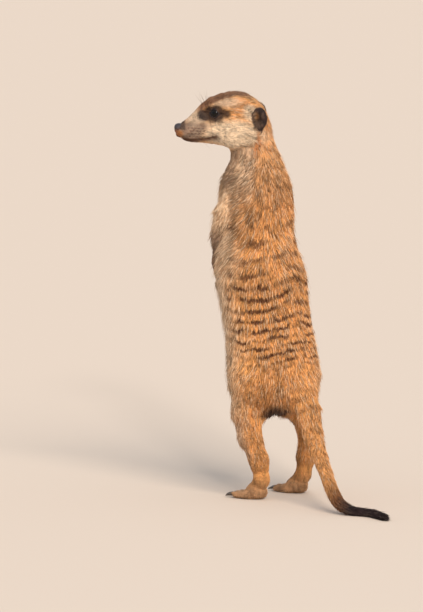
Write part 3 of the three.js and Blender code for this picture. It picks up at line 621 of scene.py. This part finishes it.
def refine(mesh, chosen):
    """Splits the squares where chosen(places) holds into four."""
    bm = bmesh.new()
    bm.from_mesh(mesh)
    bm.edges.ensure_lookup_table()
    picked = chosen(read(mesh)[edges_of(mesh)].mean(1))
    edges = [bm.edges[i] for i in np.nonzero(picked)[0]]
    bmesh.ops.subdivide_edges(bm, edges=edges, cuts=1, use_grid_fill=True)
    bm.to_mesh(mesh)
    bm.free()


def relax(places, edges, share, rounds):
    """Each place moves towards the middle of its neighbours."""
    a, b = edges.T
    n = len(places)
    count = np.maximum(np.bincount(a, minlength=n) + np.bincount(b, minlength=n), 1)
    for _ in range(rounds):
        total = np.stack([np.bincount(a, places[b, k], n) + np.bincount(b, places[a, k], n)
                          for k in range(3)], -1)
        places = places + (total / count[:, None] - places) * (0.5 * share)[:, None]
    return places


# ---------------- the skin

SKIN_GRID, NOSE_GRID = 1.0, 0.28


def near_face_or_fingers(places):
    ahead, _, up = to_head(places).T
    _, y, z = places.T
    return ((up > 262) & (ahead > -14)) | ((z < 10) & (y < -12)) | ((z > 135) & (z < 166) & (y < -54))


def near_features(places):
    ahead, left, up = to_head(places).T
    eye = (eye_opening(places)[1] < 9.5) & (np.abs(left) > 8)
    ear = (ahead < 4) & (np.abs(left) > 15.5) & (up > 272)
    lips = (mouth_line(places) < 1.8) & (ahead > 27)
    return (up > 262) & (eye | ear | lips | (ahead > 47))


def add_lip(mesh):
    """The upper lip under the nose, as a small round form that the skin is drawn over."""
    lip, places = ball("lip", 24, 16)
    write(lip, from_head(LIP + places * LIP_SIZE))
    bm = bmesh.new()
    bm.from_mesh(mesh)
    bm.from_mesh(lip)
    bm.to_mesh(mesh)
    bm.free()
    bpy.data.meshes.remove(lip)


def make_skin():
    """The skin, and how many tufts its points want."""
    skin = joined_copy("skin", FLESH + ["left_eye", "right_eye", "nose"], 0.35)
    add_lip(skin.data)
    modify(skin, "REMESH", mode="VOXEL", voxel_size=SKIN_GRID * MM)
    mesh = skin.data
    refine(mesh, near_face_or_fingers)
    refine(mesh, near_features)
    places, edges = read(mesh), edges_of(mesh)
    state = lie(places)
    kind = np.array(LINE_NAMES)[state["region"]]
    share = np.full(len(places), 0.35)
    share[(kind == "trunk") | (kind == "neck")] = 1.0
    share[kind == "head"] = 0.6
    share[np.char.endswith(kind, "ear")] = 0.25
    feet = (places[:, 2] < 12) & np.char.endswith(kind, "leg")
    hands = (places[:, 2] < np.where(places[:, 0] > 0, 171, 166)) & np.char.endswith(kind, "arm")
    share[feet | hands] = 0.12
    share = relax(np.repeat(share[:, None], 3, 1), edges, np.ones(len(share)), 8)[:, 0]
    places = relax(places, edges, share, 24)
    ahead, _, up = to_head(places).T
    jowl = spot(ahead, up, (26, 271), (7, 14), 0.6) * rise(262, 265, up)
    places = relax(places, edges, jowl, 60)
    write(mesh, places)
    places = places - normals_of(mesh) * (state["depth"] + 0.8 * toe_clefts(places))[:, None]
    for change in (close_lids, press_mouth, fold_ears, tuck_under_nose):
        places = change(places)
    places[:, 2] = np.maximum(places[:, 2], 0.05)
    write(mesh, places)
    values = markings(places, state["score"])
    put(mesh, "marks_a", values[:, :3])
    put(mesh, "marks_b", values[:, 3:])
    put(mesh, "bands", np.stack([*bands(places), streaks(places)], -1))
    return skin, hair_density(places, state["length"])


def close_lids(places):
    """Draws the skin on to the edge of the lids, and sinks it inside the eye."""
    gap, reach, way, side = eye_opening(places)
    lid = EYE_RADIUS + 0.42
    swell = 0.25 * np.sin(np.clip((gap - 1) / 0.45, 0, 1) * np.pi)
    goal = np.where(gap < 1, EYE_RADIUS - 1.0, np.where(gap < 1.45, lid + swell, lid + 0.1))
    local = EYE + way * (reach + (goal - reach) * fall(1.3, 2.0, gap))[:, None]
    local[:, 1] *= side
    return np.where((gap < 2.0)[:, None], from_head(local), places)


def press_mouth(places):
    """The groove of the closed mouth."""
    head = to_head(places)
    depth = 0.75 * np.exp(-(mouth_line(places) / 0.55) ** 2)
    depth *= rise(28, 33, head[:, 0]) * rise(258, 262, head[:, 2])
    head[:, 0] -= 0.3 * depth
    head[:, 1] -= np.sign(head[:, 1]) * depth
    return from_head(head)


def ear_frame(head):
    """How far ahead and up of an ear's middle, from -1 to 1 at its rim."""
    up = head[:, 2] - EAR_AT[1]
    return (head[:, 0] - EAR_AT[0] + EAR_LEAN * up) / EAR_SIZE[0], up / EAR_SIZE[1]


def ear_folds(a, c):
    """The folds inside an ear: a curled ridge behind, a small flap ahead, a shelf above, and the hollow."""
    ridge = np.exp(-((a + 0.28 + 0.3 * (c - 0.1) ** 2) / 0.15) ** 2) * fall(0.5, 0.75, np.abs(c + 0.05))
    flap = np.exp(-((a - 0.52) / 0.2) ** 2 - ((c + 0.12) / 0.3) ** 2)
    shelf = np.exp(-((c - 0.32 - 0.3 * a) / 0.12) ** 2) * fall(0.35, 0.6, np.abs(a))
    well = np.exp(-((a - 0.1) / 0.24) ** 2 - ((c + 0.1) / 0.36) ** 2)
    return ridge, flap, shelf, well


def fold_ears(places):
    head = to_head(places)
    a, c = ear_frame(head)
    ridge, flap, shelf, well = ear_folds(a, c)
    out = 0.9 * ridge + 1.3 * flap + 0.8 * shelf - 1.3 * well
    out *= fall(0.75, 0.95, np.hypot(a, c)) * rise(18.6, 19.6, np.abs(head[:, 1])) * (head[:, 2] > 270)
    head[:, 1] += np.sign(head[:, 1]) * out
    return from_head(head)


def tuck_under_nose(places):
    """Pulls the skin in under the nose leather."""
    head = to_head(places)
    arm = (head - NOSE) / NOSE_SIZE
    gap = np.maximum(np.linalg.norm(arm, axis=1), 1e-6)
    under = NOSE + arm / gap[:, None] * 0.8 * NOSE_SIZE
    hold = fall(1.0, 1.3, gap) * (head[:, 0] > 53)
    return from_head(head + (under - head) * hold[:, None])


# ---------------- the coat

TUFT_FACES = np.array([(0, 2, 1), (0, 1, 4), (0, 4, 3), (1, 2, 5), (1, 5, 4), (2, 0, 3), (2, 3, 5),
                       (3, 4, 6), (4, 5, 6), (5, 3, 6)])
TUFT_RING = [0, 0, 0, 1, 1, 1, 2]
TUFT_ALONG = np.array([0, 0, 0.05, 0.5, 0.5, 0.5, 1.0])
TUFT_POINTS = len(TUFT_ALONG)
PATCH = 0.003
TUFT_PATCH = np.array([(0, 0), (1, 0), (0.5, 0.2), (0, 0.5), (1, 0.5), (0.5, 0.65), (0.5, 1)]) * PATCH


def scatter(mesh, count, density):
    """Roots spread evenly over the mesh, more where the density of its points is high: places and normals."""
    mesh.calc_loop_triangles()
    corners = pull(mesh.loop_triangles, "vertices", 3, np.int32)
    tri, normals = read(mesh)[corners], normals_of(mesh)
    area = 0.5 * np.linalg.norm(np.cross(tri[:, 1] - tri[:, 0], tri[:, 2] - tri[:, 0]), axis=1)
    total = np.cumsum(area * density[corners].mean(1))
    at = (np.arange(count) + RNG.random(count)) / count * total[-1]
    chosen = np.minimum(np.searchsorted(total, at), len(total) - 1)
    u, v = RNG.random(count), RNG.random(count)
    flip = u + v > 1
    u[flip], v[flip] = 1 - u[flip], 1 - v[flip]
    share = np.stack([1 - u - v, u, v], -1)[:, :, None]
    return (tri[chosen] * share).sum(1), unit((normals[corners[chosen]] * share).sum(1))


def hair_density(places, length):
    """Tufts wanted for each square millimetre, before scaling to the whole count."""
    wanted = 13.0 / np.maximum(length, 1.6) ** 0.85
    head = to_head(places)
    wanted *= 1 + 0.35 * rise(256, 268, places[:, 2]) - 0.25 * fall(50, 70, places[:, 2])
    wanted *= rise(1.2, 1.5, eye_opening(places)[0])
    wanted *= rise(0.4, 1.0, places[:, 2])
    wanted *= rise(0.95, 1.25, np.linalg.norm((head - NOSE) / NOSE_SIZE, axis=1))
    inner_ear = spot(head[:, 0], head[:, 2], (-2, 285), (3.4, 6.5), 0.2) * (np.abs(head[:, 1]) > 20)
    return wanted * (1 - 0.7 * inner_ear)


def make_tufts(skin, density, count):
    """Tufts with three sides that leave the skin at a low angle and then lie along it."""
    roots, normals = scatter(skin.data, count, density)
    state = lie(roots)
    values = markings(roots, state["score"])
    way = state["way"]
    way = unit(way - normals * (way * normals).sum(1)[:, None])
    turn = (0.1 * RNG.standard_normal(count) + 0.22 * noise(roots + 11, 6.0))[:, None]
    way = unit(way * np.cos(turn) + np.cross(normals, way) * np.sin(turn))
    strand = np.clip(0.5 + 0.42 * (RNG.random(count) - 0.5) + 0.55 * streaks(roots), 0, 1)
    height, abreast = roots[:, 2], roots[:, 1] / 33 + 0.75
    on_flank = (rise(-0.95, -0.7, abreast) * fall(-0.15, 0.15, abreast)
                * rise(120, 150, height) * fall(212, 226, height))
    guard = (RNG.random(count) < 0.06 + 0.16 * on_flank) & (state["length"] > 4)
    length = state["length"] * (0.75 + 0.5 * RNG.random(count)) * np.where(guard, 1.3 + 0.35 * on_flank, 1.0)
    lift = np.radians(6.5 + 7 * RNG.random(count) + np.where(guard, 8, 0))
    lift *= np.where(height > 264, 0.85, 1.0) * np.where(values[:, 5] > 0.4, 0.5, 1.0)
    width = np.clip(0.055 * length + 0.13, 0.18, 0.62) * (0.8 + 0.4 * RNG.random(count))
    width *= np.where(guard, 0.7, 1.0)
    lift, step = lift[:, None], (0.5 * length)[:, None]
    run = np.cos(lift) * way + np.sin(lift) * normals
    flat = np.cos(0.45 * lift) * way + np.sin(0.45 * lift) * normals
    base, middle = roots - 0.25 * normals, roots + run * step
    tip = middle + flat * step
    half = np.cross(normals, way) * (0.5 * width)[:, None]
    top = normals * (0.34 * width)[:, None]
    points = np.stack([base - 0.7 * half, base + 0.7 * half, base + top,
                       middle - half, middle + half, middle + top, tip], 1)
    points[:, :, 2] = np.maximum(points[:, :, 2], 0.02)
    band = np.stack([np.stack(bands(places), -1) for places in (roots, middle, tip)], 1)
    return {"points": points, "marks": values, "band": band, "strand": strand, "guard": guard, "roots": roots,
            "region": state["region"]}


def unwrap_places(roots, region):
    """Each root's place on an unwrap of the skin: round and along the part of the body it grows on."""
    regions = np.unique(region)
    places = np.zeros((len(roots), 2))
    for slot, index in enumerate(regions):
        here = region == index
        rows = LINES[LINE_NAMES[index]]
        arm = roots[here] - beside(roots[here], rows)[1][:, :3]
        general = unit(rows[-1, :3] - rows[0, :3])
        guide = np.array([0, 1.0, 0]) if abs(general[1]) < 0.8 else np.array([0, 0, 1.0])
        first = unit(np.cross(general, guide))
        angle = np.arctan2(arm @ np.cross(general, first), arm @ first)
        along = roots[here] @ general
        places[here, 0] = (slot + 0.02 + 0.96 * (angle / (2 * np.pi) + 0.5)) / len(regions)
        places[here, 1] = 0.01 + 0.97 * (along - along.min()) / max(np.ptp(along), 1e-6)
    return np.clip(places, 0.002, 0.994)


def coat_piece(name, tufts, picked):
    tuft = {key: values[picked] for key, values in tufts.items()}
    n = len(picked)
    faces = (TUFT_FACES[None] + TUFT_POINTS * np.arange(n)[:, None, None]).reshape(-1, 3)
    uv = unwrap_places(tuft["roots"], tuft["region"])[:, None] + TUFT_PATCH[TUFT_FACES.ravel()]
    piece = triangle_object(name, tuft["points"].reshape(-1, 3), faces, uv)
    mesh = piece.data
    marks, strand, guard = (np.repeat(tuft[key], TUFT_POINTS, axis=0) for key in ("marks", "strand", "guard"))
    put(mesh, "marks_a", marks[:, :3])
    put(mesh, "marks_b", marks[:, 3:])
    put(mesh, "hair", np.stack([np.tile(TUFT_ALONG, n), strand, guard], -1))
    band = tuft["band"][:, TUFT_RING].reshape(-1, 2)
    put(mesh, "bands", np.column_stack([band, np.zeros(len(band))]))
    dress(mesh, "coat")
    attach(piece, "root")


# ---------------- materials

def linear(r, g, b):
    """A screen colour, 0 to 255, as the shader's own values."""
    shares = np.array([r, g, b]) / 255
    return (*np.where(shares <= 0.04045, shares / 12.92, ((shares + 0.055) / 1.055) ** 2.4), 1.0)


TAN = linear(242, 174, 102)
RUST = linear(214, 132, 70)
CREAM = linear(240, 214, 183)
GREY = linear(172, 148, 130)
BROWN = linear(104, 62, 40)
BLACK = linear(50, 36, 36)
BARE = linear(40, 30, 30)
TIP = linear(250, 220, 182)


class Net:
    """A material's nodes, with short calls to add and join them."""

    def __init__(self, name):
        self.material = bpy.data.materials.new(name)
        self.material.use_nodes = True
        self.tree = self.material.node_tree
        self.shader = self.tree.nodes["Principled BSDF"]

    def feed(self, socket, value):
        if isinstance(value, bpy.types.NodeSocket):
            self.tree.links.new(value, socket)
        else:
            socket.default_value = value

    def add(self, kind, inputs=(), **settings):
        node = self.tree.nodes.new(kind)
        for key, value in settings.items():
            setattr(node, key, value)
        for key, value in dict(inputs).items():
            self.feed(node.inputs[key], value)
        return node

    def number(self, attribute):
        return self.add("ShaderNodeAttribute", attribute_name=attribute).outputs["Fac"]

    def parts(self, attribute):
        node = self.add("ShaderNodeAttribute", attribute_name=attribute)
        split = self.add("ShaderNodeSeparateXYZ", {0: node.outputs["Vector"]})
        return split.outputs

    def maths(self, operation, a, b=0.0, clamp=False):
        return self.add("ShaderNodeMath", {0: a, 1: b}, operation=operation, use_clamp=clamp).outputs[0]

    def mix(self, factor, a, b, blend="MIX"):
        node = self.add("ShaderNodeMix", {0: factor, 6: a, 7: b}, data_type="RGBA", blend_type=blend)
        return node.outputs[2]

    def ramp(self, factor, stops):
        node = self.add("ShaderNodeValToRGB", {0: factor})
        ramp = node.color_ramp
        while len(ramp.elements) < len(stops):
            ramp.elements.new(0.5)
        for element, (place, value) in zip(ramp.elements, stops):
            element.position = place
            element.color = value if isinstance(value, tuple) else (value, value, value, 1)
        return node.outputs[0]

    def noise(self, scale, detail=3.0):
        places = self.add("ShaderNodeTexCoord").outputs["Object"]
        inputs = {"Vector": places, "Scale": scale, "Detail": detail}
        return self.add("ShaderNodeTexNoise", inputs).outputs["Fac"]

    def bump(self, height, strength, distance):
        node = self.add("ShaderNodeBump", {"Height": height, "Strength": strength, "Distance": distance * MM})
        self.feed(self.shader.inputs["Normal"], node.outputs[0])

    def coat_colour(self, offset=0.0):
        """The markings' colours, the same for skin and coat; also how dark they are, and how bare."""
        rust, cream, grey = self.parts("marks_a")
        brown, black, bare = self.parts("marks_b")
        count, strong, _ = self.parts("bands")
        turn = self.maths("MULTIPLY", self.maths("ADD", count, offset), 2 * math.pi)
        wave = self.maths("COSINE", turn)
        band = self.maths("MULTIPLY", self.ramp(wave, [(0.0, 0.0), (0.55, 0.85), (1.0, 1.0)]), strong)
        brown = self.maths("MAXIMUM", brown, band)
        colour = TAN
        for share, over in ((rust, RUST), (cream, CREAM), (grey, GREY), (brown, BROWN), (black, BLACK)):
            colour = self.mix(share, colour, over)
        return colour, self.maths("MAXIMUM", brown, black), bare

    def finish(self, colour, rough, shine, ior=1.5):
        """The material, once its shader has a colour, a roughness and highlights."""
        for key, value in (("Base Color", colour), ("Roughness", rough), ("Specular IOR Level", shine),
                           ("IOR", ior)):
            self.feed(self.shader.inputs[key], value)
        return self.material


def coat_material():
    net = Net("coat")
    along, strand, guard = net.parts("hair")
    offset = net.maths("MULTIPLY", net.maths("SUBTRACT", strand, 0.5), 0.42)
    colour, dark, _ = net.coat_colour(offset)
    pale_tip = net.maths("MULTIPLY", net.ramp(along, [(0.5, 0.0), (1.0, 1.0)]), 0.4)
    pale_tip = net.maths("MULTIPLY", pale_tip, net.maths("SUBTRACT", 1.0, dark))
    colour = net.mix(pale_tip, colour, TIP)
    shade = net.ramp(along, [(0.0, 0.5), (0.3, 0.85), (0.6, 1.0)])
    colour = net.mix(1.0, colour, shade, "MULTIPLY")
    tone = net.ramp(strand, [(0.0, 0.5), (0.3, 0.86), (0.6, 1.06), (1.0, 1.28)])
    colour = net.mix(1.0, colour, tone, "MULTIPLY")
    light = net.maths("MULTIPLY", guard, net.maths("SUBTRACT", 0.5, net.maths("MULTIPLY", dark, 0.45)), True)
    colour = net.mix(light, colour, CREAM)
    return net.finish(colour, rough=0.6, shine=0.25)


def skin_material():
    net = Net("skin")
    colour, _, bare = net.coat_colour()
    streak = net.maths("MULTIPLY", net.parts("bands")[2], 0.5)
    fine = net.noise(1400.0, 4.0)
    colour = net.mix(1.0, colour, net.ramp(fine, [(0.3, 0.7), (0.7, 1.0)]), "MULTIPLY")
    locks = net.ramp(net.maths("ADD", streak, 0.5), [(0.1, 0.6), (0.6, 0.95), (1.0, 1.1)])
    colour = net.mix(1.0, colour, locks, "MULTIPLY")
    colour = net.mix(bare, colour, BARE)
    rough = net.ramp(bare, [(0.0, 0.75), (1.0, 0.5)])
    net.bump(fine, 0.5, 0.25)
    return net.finish(colour, rough, shine=0.25)


def eye_material():
    net = Net("eye")
    places = net.number("iris")
    streaks = net.noise(1800.0, 5.0)
    ring = net.maths("ADD", places, net.maths("MULTIPLY", net.maths("SUBTRACT", streaks, 0.5), 0.12))
    colour = net.ramp(ring, [(0.0, linear(5, 4, 4)), (0.36, linear(6, 5, 5)), (0.46, linear(21, 14, 10)),
                             (0.72, linear(19, 12, 9)), (0.85, linear(6, 5, 5)), (1.0, linear(10, 7, 7))])
    return net.finish(colour, rough=0.05, shine=0.4, ior=1.34)


def nose_material():
    net = Net("nose_leather")
    above = net.number("above")
    cells = net.add("ShaderNodeTexVoronoi", {"Vector": net.add("ShaderNodeTexCoord").outputs["Object"],
                                             "Scale": 2300.0}, feature="F1").outputs["Distance"]
    mottle = net.noise(900.0, 4.0)
    colour = net.ramp(above, [(0.0, linear(150, 92, 62)), (0.4, linear(118, 74, 56)),
                              (0.65, linear(72, 58, 56)), (1.0, linear(64, 57, 60))])
    colour = net.mix(1.0, colour, net.ramp(mottle, [(0.3, 0.7), (0.7, 1.05)]), "MULTIPLY")
    colour = net.mix(1.0, colour, net.ramp(cells, [(0.0, 0.75), (0.6, 1.0)]), "MULTIPLY")
    # painted shade, near black, in the nostril holes and at the foot of the groove
    painted_pit_shade = net.number("painted_pit_shade")
    colour = net.mix(painted_pit_shade, colour, linear(14, 10, 10))
    net.bump(cells, 0.6, 0.2)
    return net.finish(colour, rough=0.55, shine=0.35)


def claw_material():
    net = Net("claw_horn")
    grain = net.noise(700.0, 5.0)
    colour = net.ramp(grain, [(0.25, linear(40, 31, 27)), (0.75, linear(92, 76, 63))])
    net.bump(grain, 0.25, 0.12)
    return net.finish(colour, rough=0.35, shine=0.45)


def whisker_material():
    net = Net("whisker")
    along = net.number("along")
    colour = net.ramp(along, [(0.0, linear(60, 44, 36)), (0.5, linear(120, 96, 78)),
                              (1.0, linear(190, 168, 146))])
    colour = net.mix(0.3, colour, net.noise(500.0), "MULTIPLY")
    return net.finish(colour, rough=0.45, shine=0.4)


def floor_material():
    return Net("studio_floor").finish(linear(216, 199, 183), rough=0.9, shine=0.1)


# ---------------- eyes, nose, claws and whiskers

# A nostril's hole, the slit that runs out and back from it, and the wing above: middle, size and push.
NOSTRIL = [((59.0, 2.3, 275.8), (2.6, 1.15, 1.0), (-2.2, -0.1, 0.15)),
           ((57.4, 4.0, 274.9), (2.2, 1.7, 0.55), (-0.6, -1.0, 0.0)),
           ((57.6, 4.0, 276.6), (2.0, 1.8, 0.8), (0.2, 0.35, 0.1))]
WHISKER_SIDES, WHISKER_RINGS, WHISKER_RADIUS = 3, 6, 0.13


def make_eye(side):
    """An eyeball with the low dome of its cornea."""
    mirror = np.array([1, 1 if side == "left" else -1, 1])
    look = unit(EYE_LOOKS * mirror)
    mesh, local = ball(f"{side}_eyeball", 48, 28)
    local *= EYE_RADIUS + 0.28 * fall(0.0, 0.62, np.arccos(np.clip(local[:, 2:], -1, 1)))
    write(mesh, from_head(EYE * mirror + local @ np.array([*eye_axes(look), look])))
    wide = np.hypot(local[:, 0] * 0.85, local[:, 1] * 1.15) / 3.6
    put(mesh, "iris", np.where(local[:, 2] < 0, 1, np.clip(wide, 0, 1)))
    dress(mesh, "eye")
    piece = placed(f"{side}_eyeball", mesh)
    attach(piece, "root")
    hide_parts(f"{side}_eye")


def make_nose():
    """The nose leather, with nostrils and the groove between them."""
    piece = joined_copy("nose_leather", ["nose"], 0.25)
    modify(piece, "REMESH", mode="VOXEL", voxel_size=NOSE_GRID * MM)
    places = read(piece.data)
    head = to_head(relax(places, edges_of(piece.data), np.ones(len(places)), 12))
    arm = (head - head.mean(0)) / NOSE_SIZE
    arm /= ((np.abs(arm) ** 2.5).sum(1) ** 0.4)[:, None]
    # flat in front, narrower below, with a groove down the middle
    low = fall(-0.9, 0.1, arm[:, 2])
    arm[:, 1] *= 1 - 0.42 * low
    arm[:, 0] -= 0.1 * low
    head = NOSE + arm * NOSE_SIZE
    front = rise(56, 58, head[:, 0])
    head[:, 0] -= 0.65 * np.exp(-(head[:, 1] / 0.35) ** 2) * front * fall(276.4, 278, head[:, 2])
    # where the painted shade goes: the foot of the groove, then the nostril holes and slits
    painted_pit_shade = 0.6 * np.exp(-(head[:, 1] / 0.3) ** 2) * front * fall(275.6, 276.6, head[:, 2])
    for mirror in (np.array([1, 1, 1]), np.array([1, -1, 1])):
        dents = [np.exp(-(((head - middle * mirror) / size) ** 2).sum(1)) for middle, size, _ in NOSTRIL]
        for dent, (_, _, push) in zip(dents, NOSTRIL):
            head = head + np.outer(dent, push * mirror)
        painted_pit_shade = np.maximum(painted_pit_shade, np.maximum(rise(0.3, 0.65, dents[0]), rise(0.35, 0.75, dents[1])))
    write(piece.data, from_head(head))
    put(piece.data, "above", rise(273.5, 278.5, head[:, 2] + 0.25 * (head[:, 0] - 57)))
    put(piece.data, "painted_pit_shade", painted_pit_shade)
    dress(piece.data, "nose")
    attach(piece, "root")
    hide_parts("nose")


def make_claws(side, part):
    nodes = [f"{side}_{part}_claw_{k}" for k in (1, 2, 3, 4)]
    piece = joined_copy(f"{side}_{part}_claws", nodes, 0.12)
    modify(piece, "SUBSURF", levels=2, render_levels=2)
    dress(piece.data, "claw")
    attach(piece, "root")
    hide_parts(*nodes)


def whisker_plan():
    """One side's whiskers and brow hairs: root as ahead and up, way, length, and how far the tip sags."""
    whiskers = [((ahead + 1, up), (-0.62, 0.74, 0.1 * row - 0.3), 16 - 2.2 * column + row, 0.4)
                for row, roots in enumerate(WHISKER_ROOTS) for column, (ahead, up) in enumerate(roots[:4])]
    return whiskers + [((38.5 - 1.6 * k, 294.2 + 1.1 * k), (0.55 - 0.25 * k, 0.3, 0.85), 7.5 + k, -0.35)
                       for k in range(3)]


def make_whiskers(skin):
    """Whiskers on the muzzle and a few stiff hairs over the eyes, as thin tapered spikes."""
    head = to_head(read(skin.data))
    along = np.repeat(np.linspace(0, 1, WHISKER_RINGS), WHISKER_SIDES)
    turn = np.tile(np.arange(WHISKER_SIDES) / WHISKER_SIDES, WHISKER_RINGS)
    radius = WHISKER_RADIUS * (1 - 0.85 * along)
    places, patches = [], []
    for sign in (1, -1):
        side = head[head[:, 1] * sign > 2.0]
        for (ahead, up), way, length, sag in whisker_plan():
            root = side[np.argmin((side[:, 0] - ahead) ** 2 + (side[:, 2] - up) ** 2)]
            way = unit(np.array(way) * [1, sign, 1] + 0.12 * RNG.standard_normal(3))
            length *= 0.85 + 0.3 * RNG.random()
            across = unit(np.cross(way, [0, 0, 1.0]))
            places.append(root + np.outer(length * along - 0.4, way)
                          + np.outer(sag * length * along ** 2, [-0.35, 0, -0.5])
                          + np.outer(radius * np.cos(2 * np.pi * turn), across)
                          + np.outer(radius * np.sin(2 * np.pi * turn), np.cross(across, way)))
            corner = [0.25 + 0.5 * (sign < 0) + (root[0] - 40) / 100, (root[2] - 265) / 40]
            patches.append(corner + np.stack([turn, along], -1) * PATCH)
    last = WHISKER_SIDES * (WHISKER_RINGS - 1)
    faces = [(2, 1, 0), (last, last + 1, last + 2)]
    for a in range(last):
        b = a - a % WHISKER_SIDES + (a + 1) % WHISKER_SIDES
        faces += [(a, b, b + WHISKER_SIDES), (a, b + WHISKER_SIDES, a + WHISKER_SIDES)]
    faces = (np.array(faces)[None] + len(along) * np.arange(len(places))[:, None, None]).reshape(-1, 3)
    uv = np.vstack(patches)[faces.ravel()]
    piece = triangle_object("whiskers", from_head(np.vstack(places)), faces, uv)
    put(piece.data, "along", np.tile(along, len(places)))
    dress(piece.data, "whisker")
    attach(piece, "root")


# ---------------- build

materials = {"coat": coat_material(), "skin": skin_material(), "eye": eye_material(), "nose": nose_material(),
             "claw": claw_material(), "floor": floor_material(), "whisker": whisker_material()}
TUFTS = 140000
MOST_IN_A_PIECE = 19900

skin, density = make_skin()
dress(skin.data, "skin")
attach(skin, "root")
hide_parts(*FLESH)

for side in SIDES:
    make_eye(side)
    make_claws(side, "foot")
    make_claws(side, "hand")
make_nose()
make_whiskers(skin)

tufts = make_tufts(skin, density, TUFTS)
region = np.array(LINE_NAMES)[tufts["region"]]
height = tufts["roots"][:, 2]
on_trunk = region == "trunk"
groups = {
    "coat_head": ((region == "head") | np.char.endswith(region, "ear"), "coat_tan"),
    "coat_neck": (region == "neck", "coat_tan"),
    "coat_chest": (on_trunk & (height > 171), "coat_grey"),
    "coat_belly": (on_trunk & (height <= 171) & (height > 113), "coat_tan"),
    "coat_hips": (on_trunk & (height <= 113), "coat_tan"),
    "coat_arms": (np.char.endswith(region, "arm"), "coat_grey"),
    "coat_legs": (np.char.endswith(region, "leg"), "coat_tan"),
    "coat_tail": (region == "tail", "coat_dark"),
}
for name, (chosen, slot) in groups.items():
    picked = np.nonzero(chosen)[0]
    pieces = math.ceil(len(picked) / MOST_IN_A_PIECE)
    order = picked[np.argsort(height[picked], kind="stable")]
    for k, part in enumerate(np.array_split(order, pieces)):
        coat_piece(name if pieces == 1 else f"{name}_{k + 1}", tufts, part)

# ---------------- the studio

FLOOR_HALF = 20.0
PICTURE_MIDDLE = (np.array([37.9, -37.9, 144.5]) + SHIFT) * MM
CAMERA_AZIMUTH, CAMERA_RISE = math.radians(135), math.radians(7)
CAMERA_WAY = np.array([math.sin(CAMERA_AZIMUTH) * math.cos(CAMERA_RISE),
                       -math.cos(CAMERA_AZIMUTH) * math.cos(CAMERA_RISE), math.sin(CAMERA_RISE)])
LENS, SENSOR = 400.0, 36.0
FRAME_HEIGHT = 0.459

floor_mesh = bpy.data.meshes.new("studio_floor")
floor_corners = [(FLOOR_HALF * x, FLOOR_HALF * y, 0) for x, y in ((-1, -1), (1, -1), (1, 1), (-1, 1))]
floor_mesh.from_pydata(floor_corners, [], [(0, 1, 2, 3)])
dress(floor_mesh, "floor")
floor = placed("studio_floor", floor_mesh)


def aim(thing, place, at):
    thing.location = place
    thing.rotation_euler = Vector(np.array(at) - np.array(place)).to_track_quat("-Z", "Y").to_euler()


def light(name, energy, place, colour, angle):
    """A sun that shines from a place towards the animal."""
    data = bpy.data.lights.new(name, "SUN")
    data.energy = energy
    data.color = colour
    data.angle = math.radians(angle)
    aim(placed(name, data), place, (0.0, 0.0, 0.15))


camera_data = bpy.data.cameras.new("camera")
camera_data.sensor_fit = "VERTICAL"
camera_data.sensor_height = SENSOR
camera_data.lens = LENS
camera_data.clip_end = 100.0
camera = placed("camera", camera_data)
aim(camera, PICTURE_MIDDLE + CAMERA_WAY * FRAME_HEIGHT * LENS / SENSOR, PICTURE_MIDDLE)
bpy.context.scene.camera = camera

light("key", 2.5, (1.0, 2.5, 2.2), (1.0, 0.9, 0.78), 30)
light("fill", 0.7, (1.3, 1.85, 1.2), (1.0, 0.96, 0.92), 6)
world = bpy.data.worlds.new("studio")
world.use_nodes = True
sky = world.node_tree.nodes["Background"].inputs
sky["Color"].default_value = (0.86, 0.92, 1.0, 1)
sky["Strength"].default_value = 0.75
bpy.context.scene.world = world
bpy.context.scene.view_settings.view_transform = "Standard"
